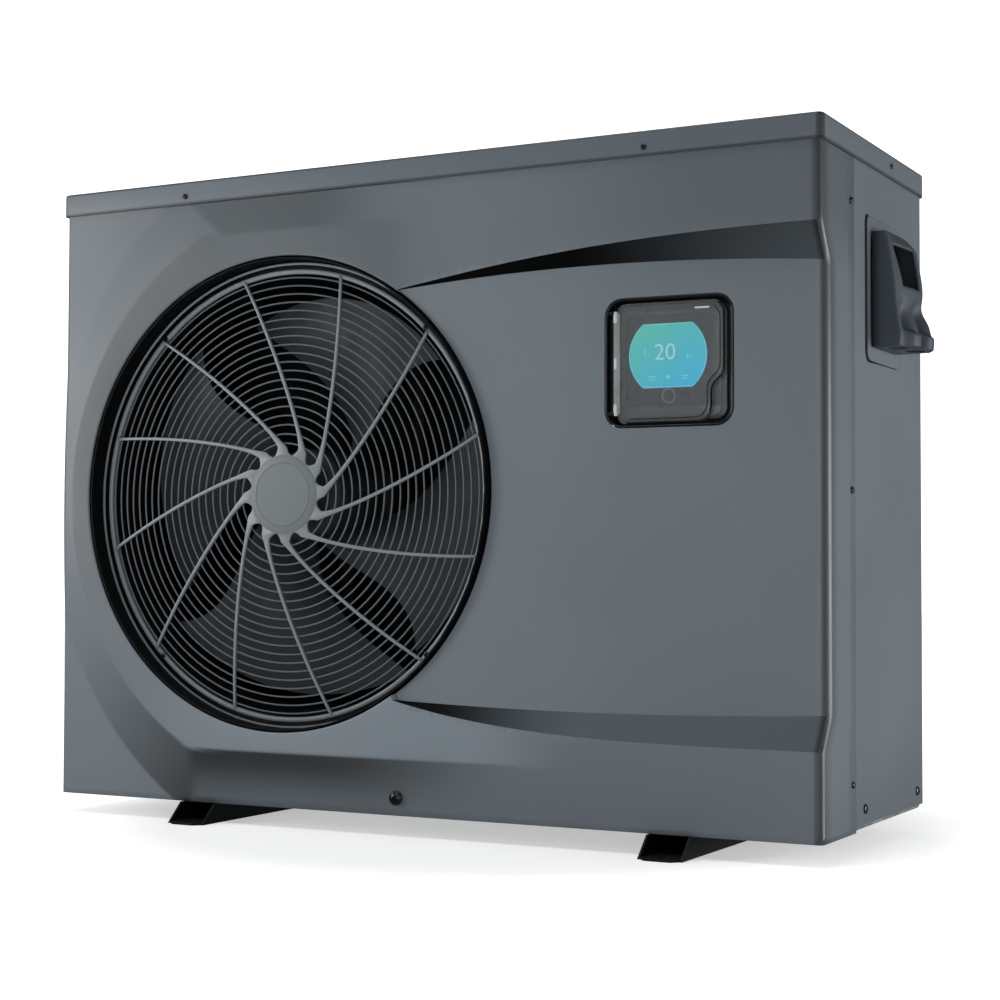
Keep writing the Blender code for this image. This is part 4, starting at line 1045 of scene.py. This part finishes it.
# ---- control pocket ----
def door_outline(inset=0.0):
    """Outline of the door: rounded corners and a finger notch at its lower right."""
    x0, z0, x1, z1 = DOOR
    x0, z0, x1, z1 = x0 + 0.0066 + inset, z0 + inset, x1 - inset, z1 - inset
    points = arc(x1 - 0.014, z1 - 0.014, 0.014, 0, 90, 8)
    points += arc(x0 + 0.009, z1 - 0.009, 0.009, 90, 180, 6)
    points += arc(x0 + 0.009, z0 + 0.009, 0.009, 180, 270, 6)
    points += [(0.0345 - inset, z0), (0.0420 - inset, z0 + 0.0022), (0.0466 - inset, z0 + 0.0085),
               (0.0480 - inset, z0 + 0.0160), (0.0480 - inset, z0 + 0.0330),
               (0.0500 - inset, z0 + 0.0390), (0.0600 - inset, z0 + 0.0485),
               (x1, z0 + 0.0540)]
    return points


def screen_outline(radius, half):
    """Outline of the round screen, cut flat above and below."""
    edge = math.degrees(math.asin(half / radius))
    points = arc(SCREEN.x, SCREEN.z, radius, -edge, edge, 20)
    return points + arc(SCREEN.x, SCREEN.z, radius, 180 - edge, 180 + edge, 20)


def control_pocket():
    """Bezel, controller face, screen, key and the hinged smoked door, in POCKET's frame."""
    half_w, half_h = POCKET_HALF_W - 0.0003, POCKET_HALF_H - 0.0003
    ring = [rounded(-half_w, -half_h, half_w, half_h, POCKET_R - 0.0003),
            list(reversed(rounded(-half_w + 0.0022, -half_h + 0.0022, half_w - 0.0022,
                                  half_h - 0.0022, POCKET_R - 0.0022)))]
    bezel = plate("control_bezel_wall", ring, 0.0006, 0.0245, 0.0007, black_gloss, POCKET)
    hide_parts("control_bezel")
    plate("control_bezel_floor", [rounded(-half_w + 0.0015, -half_h + 0.0015, half_w - 0.0015,
                                          half_h - 0.0015, POCKET_R - 0.0015)], 0.0216, 0.0245,
          0.0004, black_gloss, POCKET)
    for place, z in (("low", -0.05425), ("high", 0.05425)):
        ear = rounded(-POCKET_HALF_W + 0.0018, z - 0.0017, DOOR[0] + 0.0050, z + 0.0017, 0.0008, 3)
        plate(f"hinge_ear_{place}", [ear], DOOR_Y - 0.0022, DOOR_Y + 0.0022, 0.0005, black_gloss,
              POCKET)
    body = [rounded(-0.0618, -0.0618, 0.0618, 0.0618, 0.0120)]
    shell = plate("controller_shell", body, 0.0117, 0.0212, 0.0010, face_dark, POCKET)
    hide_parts("controller_body")
    rim = [rounded(-0.0600, -0.0590, 0.0560, 0.0560, 0.0100),
           list(reversed(rounded(-0.0532, -0.0470, 0.0530, 0.0520, 0.0060)))]
    plate("controller_frame", rim, 0.0105, 0.0119, 0.0005, face_rim, POCKET)
    lens = screen_outline(SCREEN_R, SCREEN_HALF)
    screen = plate("screen_lens", [lens], 0.0104, 0.0118, 0.0003, screen_lit, POCKET)
    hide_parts("lcd_screen")
    screen_marks()
    key = lathe([(0.0, 0.0100), (0.0062, 0.0101), (0.0072, 0.0106), (0.0074, 0.0113),
                 (0.0074, 0.0119), (0.0, 0.0119)], 48, KEY, False)
    disc = solid("home_key_disc", *key, face_dark, POCKET, 30.0, "key")
    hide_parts("home_key")
    ring = [(0.0068, 0.0104), (0.0068, 0.0098), (0.0078, 0.0098), (0.0078, 0.0104)]
    solid("home_key_ring", *lathe(ring, 48, KEY), mark_ink, POCKET, 40.0, "key")
    door = plate("door_glass", [door_outline()], DOOR_Y - 0.0011, DOOR_Y + 0.0011, 0.0008,
                 glass, POCKET, "door")
    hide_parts("display_door")
    x0 = DOOR[0] + 0.0022
    strip = [rounded(x0, -0.0545, x0 + 0.0070, 0.0545, 0.0014, 3)]
    plate("door_strip", strip, DOOR_Y - 0.0016, DOOR_Y + 0.0016, 0.0006, strip_plastic, POCKET,
          "door")
    knuckles = []
    for z, half, radius in ((0.0500, 0.0062, 0.0027), (0.0, 0.0062, 0.0022),
                            (-0.0500, 0.0062, 0.0027)):
        at = Vector((x0 + 0.0020, DOOR_Y, z))
        knuckles.append(sweep([at - Vector((0, 0, half)), at - Vector((0, 0, half - 0.0008)),
                               at + Vector((0, 0, half - 0.0008)), at + Vector((0, 0, half))],
                              [radius - 0.0006, radius, radius, radius - 0.0006], 16))
    solid("door_knuckles", *merged(knuckles), knuckle_and_highlight_plastic, POCKET, 50.0, "door")
    # A light bar near the door's upper right: a painted highlight.
    catch = [rounded(0.0290, 0.0548, 0.0455, 0.0568, 0.0010, 3)]
    plate("door_highlight_bar", catch, DOOR_Y - 0.0019, DOOR_Y - 0.0009, 0.0003, knuckle_and_highlight_plastic, POCKET,
          "door")
    # Near-black lines inside the door's right and lower edges: painted shade.
    shade_lines = []
    for inset, radius in ((0.0010, 0.0011), (0.0052, 0.0008)):
        outline = door_outline(inset)
        run = outline[22:] + outline[:6]
        path = [Vector((x, DOOR_Y - 0.0004, z)) for x, z in run]
        shade_lines.append(sweep(path, radius, 8))
    solid("door_edge_shade", *merged(shade_lines), black_and_shade, POCKET, 60.0, "door",
          "smoked_glass")


def screen_marks():
    """Generic readout: two digits, a unit tick, a bar and a row of small symbols."""
    text = bpy.data.curves.new("digits", "FONT")
    text.body = "20"
    text.size = 0.0250
    text.offset = -0.00010
    text.extrude = 0.00012
    text.align_x = "CENTER"
    text.align_y = "CENTER"
    mesh = evaluated_mesh("digits", text)
    place = Matrix.Translation((SCREEN.x - 0.0030, 0.01025, SCREEN.z + 0.0030))
    mesh.transform(POCKET @ place @ UPRIGHT)
    finish_piece("screen_digits", mesh, marks_lit, 40.0)
    y0, y1 = 0.0101, 0.01032
    bars = []
    for x, z, w, h in ((-0.0300, 0.0105, 0.0012, 0.0090), (-0.0262, 0.0085, 0.0020, 0.0016),
                       (0.0180, 0.0060, 0.0016, 0.0050), (0.0215, 0.0052, 0.0030, 0.0012),
                       (-0.0225, -0.0150, 0.0100, 0.0014), (-0.0225, -0.0180, 0.0070, 0.0012),
                       (-0.0040, -0.0160, 0.0050, 0.0040), (0.0150, -0.0150, 0.0080, 0.0014),
                       (0.0150, -0.0180, 0.0050, 0.0012)):
        bars.append([(x - w / 2, z - h / 2), (x + w / 2, z - h / 2), (x + w / 2, z + h / 2),
                     (x - w / 2, z + h / 2)])
    plate("screen_symbols", bars, y0, y1, 0.00002, marks_faint,
          POCKET)
    outer = screen_outline(SCREEN_R - 0.0004, SCREEN_HALF - 0.0006)
    inner = screen_outline(SCREEN_R - 0.0011, SCREEN_HALF - 0.0013)
    plate("screen_outline", [outer, list(reversed(inner))], y0, y1, 0.00002,
          marks_faint, POCKET)


# ---- side handle ----
HANDLE_PROFILE = ((0.672, 0.0150), (0.6705, 0.0160), (0.662, 0.0176), (0.650, 0.0196),
                  (0.635, 0.0222), (0.620, 0.0245), (0.605, 0.0260), (0.590, 0.0278),
                  (0.575, 0.0296), (0.562, 0.0312), (0.552, 0.0312), (0.544, 0.0304))
WINDOW = (-0.0020, 0.0480, 0.6120, 0.6570)
LOBE_TOP, LOBE_LOW = 0.5680, 0.5560


def handle_out(y, z):
    """How far the handle's outer face stands out of the side at a height and depth."""
    out = HANDLE_PROFILE[-1][1]
    for (z1, out1), (z0, out0) in zip(HANDLE_PROFILE, HANDLE_PROFILE[1:]):
        if z0 <= z <= z1:
            out = out0 + (out1 - out0) * (z - z0) / (z1 - z0)
    arch = 0.0090 - 0.0050 * math.exp(-((z - 0.5900) / 0.0140) ** 2)
    out += arch * (1 - ((y - 0.0430) / 0.0635) ** 2) * smooth(z, 0.676, 0.655)
    out += 0.0045 * smooth(y, 0.0500, 0.0655) * smooth(z, 0.600, 0.570)
    scoops = 0.0120 * math.exp(-((y - 0.0010) / 0.0095) ** 2)
    scoops += 0.0155 * math.exp(-((y - 0.0430) / 0.0105) ** 2)
    out -= scoops * smooth(z, 0.6040, 0.5720) * (1 - smooth(z, 0.5655, 0.5600))
    near, far = math.exp(-((y - 0.0030) / 0.0135) ** 4), math.exp(-((y - 0.0425) / 0.0150) ** 4)
    notch = 0.0060 * math.exp(-((y - 0.0222) / 0.0045) ** 2)
    return out + (0.0091 * near + 0.0100 * far - notch) * smooth(z, 0.5660, 0.5570)


def handle_shell(low, high):
    """Plain front face, arched outer face with a window, two finger lobes; its lower rim."""
    side_x = low.x
    y0, z0, z1 = low.y, low.z, high.z
    levels = [z1 - 0.0005, z1 - 0.0020]
    levels += [WINDOW[3] + (z1 - 0.0040 - WINDOW[3]) * i / 4 for i in range(4, -1, -1)]
    levels += [WINDOW[3] - (WINDOW[3] - WINDOW[2]) * i / 10 for i in range(1, 11)]
    levels += [WINDOW[2] - (WINDOW[2] - LOBE_TOP) * i / 16 for i in range(1, 17)]
    levels += [LOBE_TOP - 0.0012 * i for i in range(1, 11)]
    levels += [LOBE_LOW - (LOBE_LOW - z0 - 0.0012) * i / 4 for i in range(1, 5)] + [z0]
    corner = 0.0035
    verts, loops = [], []
    for z in levels:
        ease = 0.0016 if z == z0 else 0.0
        lean = min(1.0, max(0.0, (z - WINDOW[2]) / (WINDOW[3] - WINDOW[2])))
        rear = high.y - 0.020 + math.sqrt(0.020 ** 2 - max(0.0, z - z1 + 0.020) ** 2)
        near, far = WINDOW[0] - 0.0095 * lean, min(WINDOW[1], rear - corner - 0.0015)
        inner = [y0 + corner + (near - y0 - corner) * i / 6 for i in range(6)]
        inner += [near + (far - near) * i / 20 for i in range(20)]
        inner += [far + (rear - corner - far) * i / 5 for i in range(6)]
        loop = [(0.0004, y0 + ease), (0.010, y0 + ease)]
        edge = min(handle_out(y0 + corner, z), high.x - side_x) - ease
        for a in (0, 22.5, 45, 67.5):
            turn = math.radians(a)
            loop.append((edge - corner + corner * math.sin(turn),
                         y0 + ease + corner - corner * math.cos(turn)))
        loop += [(min(handle_out(y, z), high.x - side_x) - ease, y) for y in inner]
        edge = loop[-1][0]
        for a in (22.5, 45, 67.5, 90):
            turn = math.radians(a)
            loop.append((edge - corner + corner * math.cos(turn),
                         rear - ease - corner + corner * math.sin(turn)))
        loop += [(0.010, rear - ease), (0.0004, rear - ease)]
        loops.append(range(len(verts), len(verts) + len(loop)))
        verts += [(side_x + px, py, z) for px, py in loop]
    faces = []
    for loop, after, z, below in zip(loops, loops[1:], levels, levels[1:]):
        for k in range(len(loop) - 1):
            if WINDOW[2] < (z + below) / 2 < WINDOW[3] and 12 <= k < 32:
                continue
            faces.append([loop[k], loop[k + 1], after[k + 1], after[k]])
    faces.append(list(loops[0]))
    shell = solid("carry_handle", verts, faces, slate,
                  sharp=42.0)
    wall = shell.modifiers.new("wall", "SOLIDIFY")
    wall.thickness = 0.0026
    wall.offset = -1.0
    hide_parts("side_handle")
    return [verts[i][:2] for i in loops[-1]]


def painted_shade_line(name, path, radii):
    """Dark soft line pressed flat against the side of the cabinet: painted shade along the
    handle's edges.
    """
    x = path[0].x
    verts, faces = sweep(path, radii, 12)
    flat = [Vector((x + 0.25 * (point.x - x), point.y, point.z)) for point in verts]
    solid(name, flat, faces, black_and_shade, sharp=60.0)


def side_handle():
    """Carry handle with its floor and liner, and lines of painted shade along its root and round
    its recess.
    """
    low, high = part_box("side_handle")
    side_x, y0, y1, z0, z1 = low.x, low.y, high.y, low.z, high.z
    floor = [handle_shell(low, high)]
    for y, x, length in ((0.0030, 0.0215, 0.0100), (0.0430, 0.0275, 0.0120)):
        floor.append([(side_x + x + 0.0130 * math.cos(math.radians(a)),
                       y + length * math.sin(math.radians(a))) for a in range(0, -360, -15)])
    plate("handle_floor", floor, -0.0022, 0.0, 0.0003, slate,
          Matrix.Translation((0, 0, z0)) @ Matrix.Rotation(math.radians(-90), 4, "X"))
    back = [rounded(y0 + 0.003, z0 + 0.004, y1 - 0.003, z1 - 0.004, 0.004, 4)]
    plate("handle_liner", back, -0.0014, 0.0, 0.0003, black,
          Matrix.Translation((side_x + 0.0002, 0, 0)) @ Matrix.Rotation(math.radians(90), 4, "Z"))
    plate_low, plate_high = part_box("handle_plate")
    x = plate_high.x + 0.0003
    top, bottom, near = plate_high.z - 0.0012, plate_low.z - 0.0002, plate_low.y - 0.0052
    # Painted shade: a dark line at the handle's root and a wider soft one round the recess in
    # front of it.
    root_line = [Vector((x, low.y - 0.0010, z0 + 0.001 + (z1 - z0 - 0.006) * i / 6))
                 for i in range(7)]
    painted_shade_line("handle_root_shade", root_line, [0.0008] + [0.0017] * 5 + [0.0006])
    path = [Vector((x, near + 0.0085, top + 0.0010)), Vector((x, near + 0.0045, top)),
            Vector((x, near + 0.0014, top - 0.0030)), Vector((x, near + 0.0002, top - 0.0080))]
    path += [Vector((x, near, top - 0.0110 - (top - bottom - 0.022) * i / 8)) for i in range(9)]
    path += [Vector((x, near + 0.0010, bottom + 0.0060)),
             Vector((x, near + 0.0046, bottom + 0.0018)), Vector((x, near + 0.0130, bottom)),
             Vector((x, near + 0.0400, bottom)), Vector((x, near + 0.1100, bottom))]
    radii = [0.0012, 0.0026, 0.0036] + [0.0038] * 10 + [0.0036, 0.0030, 0.0015, 0.0008, 0.0004]
    painted_shade_line("handle_recess_shade", path, radii)


# ---- coil ----
def coil_fins():
    """Two rows of thin waved upright fins round the L of the coil, each on its own tubes."""
    low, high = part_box("evaporator_coil")
    thick, inset = 0.0220, 0.0008
    sheet, tube_r, tube_rows = 0.0002, 0.0042, 24
    x_mid, y_mid = low.x + thick / 2, high.y - thick / 2
    bend = 0.045
    z0, z1 = low.z + 0.001, high.z - 0.001
    start = Vector((high.x - 0.0026, y_mid))
    runs = []
    straight = start.x - (x_mid + bend)
    pitch = 0.0026
    for i in range(int(straight / pitch)):
        runs.append((Vector((start.x - pitch * i, y_mid)), Vector((0, 1))))
    steps = int(math.pi / 2 * bend / pitch)
    for i in range(steps):
        angle = math.pi / 2 + math.pi / 2 * i / steps
        out = Vector((math.cos(angle), math.sin(angle)))
        runs.append((Vector((x_mid + bend, y_mid - bend)) + out * bend, out))
    for i in range(int((y_mid - bend - low.y) / pitch)):
        runs.append((Vector((x_mid, y_mid - bend - pitch * i)), Vector((-1, 0))))
    half = thick / 2 - inset
    # The inner row takes the near-black copy of the fins: painted shade.
    rows = (("coil_fins_outer", fin_outer, (1.0, 0.76, 0.28, 0.04), 0.0024),
            ("coil_fins_inner", fin_metal, (-0.04, -0.28, -0.76, -1.0), -0.0024))
    for name, metal, depths, wave in rows:
        parts = []
        for centre, out in runs:
            side = Vector((-out.y, out.x))
            line = [centre + out * half * depth + side * wave * bulge
                    for depth, bulge in zip(depths, (-0.3, 0.7, 0.7, -0.3))]
            ring = [p + side * sheet for p in line] + [p - side * sheet for p in line[::-1]]
            verts = [(p.x, p.y, z0) for p in ring] + [(p.x, p.y, z1) for p in ring]
            faces = between(0, 8, 8)
            faces += [[k, 7 - k, 6 - k, k + 1] for k in range(3)]
            faces += [[8 + k, 9 + k, 14 - k, 15 - k] for k in range(3)]
            parts.append((verts, faces))
        fins = solid(name, *merged(parts), metal)
        if metal is fin_outer:
            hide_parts("evaporator_coil")
    tubes = []
    for k in range(tube_rows):
        for row, stagger in ((-0.0052, 0.0), (0.0052, 0.5)):
            z = z0 + 0.018 + (z1 - z0 - 0.036) * (k + stagger) / (tube_rows - 0.5)
            path = [Vector((start.x, y_mid + row, z)), Vector((x_mid + bend, y_mid + row, z))]
            turn = arc(x_mid + bend, y_mid - bend, bend + row, 90, 180, 8)
            path += [Vector((x, y, z)) for x, y in turn[1:]]
            path.append(Vector((x_mid - row, low.y + 0.004, z)))
            tubes.append(sweep(path, tube_r, 8))
    solid("coil_tubes", *merged(tubes), fin_metal,
          sharp=60.0)


# ---- materials of the CAD nodes that stay ----
def dress_frame():
    """Assign a node material to every CAD node and round the edges that catch light."""
    groups = {
        paint: ("left_side_panel", "right_side_panel", "rear_service_panel",
                "handle_plate"),
        guard_paint: ("rear_coil_guard",),
        # The motor bracket here and the partition panel below, seen through the fan, get
        # near-black finishes as painted shade.
        black_and_shade: ("fan_orifice_ring", "motor_bracket"),
        black: ("electronics_box", "cable_gland", "water_heat_exchanger",
                "water_inlet_tail", "water_outlet_tail"),
        slate: ("union_nut_inlet", "union_nut_outlet", "flow_switch"),
        rail_paint: ("foot_rail_left", "foot_rail_right"),
        galvanised: ("base_pan", "coil_end_plate", "electronics_cover", "fan_shaft"),
        black_steel: ("compressor", "accumulator", "fan_motor", "partition_panel"),
        rubber: ("compressor_grommet_1", "compressor_grommet_2", "compressor_grommet_3"),
        copper: ("discharge_pipe", "suction_pipe", "exchanger_gas_pipe", "coil_gas_pipe",
                 "liquid_pipe_warm", "liquid_pipe_cold"),
        brass: ("four_way_valve", "expansion_valve"),
        green_board: ("control_board",),
        white_plastic: ("terminal_block",),
        screw_metal: ("fan_nut", "door_hinge_pin"),
    }
    for look, names in groups.items():
        for name in names:
            obj = frame["nodes"][name]
            obj.data.materials.clear()
            obj.data.materials.append(look.material)
    for width, names in ((0.0012, ("union_nut_inlet", "union_nut_outlet")),
                         (0.0007, ("water_inlet_tail", "water_outlet_tail")),
                         (0.0006, ("rear_coil_guard", "terminal_block", "electronics_box")),
                         (0.0005, ("cable_gland", "foot_rail_left", "foot_rail_right"))):
        for name in names:
            edge = frame["nodes"][name].modifiers.new("edge", "BEVEL")
            edge.width = width
            edge.segments = 2
            edge.limit_method = "ANGLE"
            edge.angle_limit = math.radians(40)


# ---- studio ----
def light(name, at, aim, size, power):
    """Square soft light aimed at a place."""
    lamp = bpy.data.lights.new(name, "AREA")
    lamp.shape = "RECTANGLE"
    lamp.size = lamp.size_y = size
    lamp.energy = power
    obj = bpy.data.objects.new(name, lamp)
    obj.location = at
    obj.rotation_euler = (Vector(aim) - Vector(at)).to_track_quat("-Z", "Y").to_euler()
    bpy.context.scene.collection.objects.link(obj)


def stage_pale(name, low, high, start, end):
    """Pale stage surface that glows more with distance from the middle, as a lit cove does."""
    made = Nodes(name, (0.80, 0.80, 0.80), 0.9)
    made.mottle(0.6, 0.01).set("Specular IOR Level", 0.0)
    length = made.tree.nodes.new("ShaderNodeVectorMath")
    length.operation = "LENGTH"
    made.link(made.coords, length.inputs[0])
    made.link(made.ranged(length.outputs["Value"], low, high, start, end),
              made.shader.inputs["Emission Strength"])
    made.set("Emission Color", (1.0, 1.0, 1.0, 1.0))
    return made.material


def stage_piece(name, verts, faces, material):
    """Object of the studio, which isn't part of the heat pump."""
    mesh = bpy.data.meshes.new(name)
    mesh.from_pydata(verts, [], faces)
    mesh.materials.append(material)
    obj = bpy.data.objects.new(name, mesh)
    bpy.context.scene.collection.objects.link(obj)
    return obj


def studio():
    """Pale floor and round backdrop, soft lights, and a camera at the photograph's angle."""
    half = 16
    corners = [(-half, -half, 0), (half, -half, 0), (half, half, 0), (-half, half, 0)]
    floor = stage_piece("floor", corners, [[0, 1, 2, 3]],
                        stage_pale("floor_pale", 0.44, 1.0, 0.40, 0.69))
    turns = arc(0, 0, 12, 0, 360, 60)[:-1]
    wall = [(x, y, z) for z in (-0.5, 9.0) for x, y in turns]
    backdrop = stage_piece("backdrop", wall, between(0, len(turns), len(turns)),
                           stage_pale("backdrop_pale", 1.0, 1.0, 0.9, 2.6))
    floor.visible_glossy = False
    backdrop.visible_diffuse = False
    backdrop.visible_glossy = False
    backdrop.visible_shadow = False
    world = bpy.data.worlds.new("studio")
    bpy.context.scene.world = world
    world.use_nodes = True
    ambient = world.node_tree.nodes["Background"]
    ambient.inputs["Color"].default_value = (0.92, 0.96, 1.0, 1.0)
    ambient.inputs["Strength"].default_value = 0.10
    centre = (0.0, 0.0, 0.42)
    light("key", (-2.3, -1.9, 0.80), (-0.2, 0.0, 0.42), 1.0, 26.5)
    light("side", (2.2, 0.75, 0.12), (0.46, 0.0, 0.33), 1.2, 45)
    light("top", (-0.3, -0.9, 3.0), centre, 1.8, 36)
    light("fill", (0.9, -3.0, 0.40), centre, 1.6, 17)
    light("rear", (-1.4, 2.9, 1.6), centre, 1.8, 26)
    bpy.context.scene.view_settings.view_transform = "Standard"
    camera = bpy.data.cameras.new("camera")
    camera.lens = 70.38
    camera.sensor_width = 36.0
    shot = bpy.data.objects.new("camera", camera)
    shot.matrix_world = (Matrix.Translation((1.1030, -2.0896, 0.2975))
                         @ Matrix.Rotation(math.radians(27.941), 4, "Z")
                         @ Matrix.Rotation(math.radians(92.112), 4, "X")
                         @ Matrix.Rotation(math.radians(0.158), 4, "Z"))
    bpy.context.scene.collection.objects.link(shot)
    bpy.context.scene.camera = shot


front_panel()
mouth_wall()
lid()
fan_guard()
fan_rotor()
screws()
control_pocket()
side_handle()
coil_fins()
dress_frame()
studio()
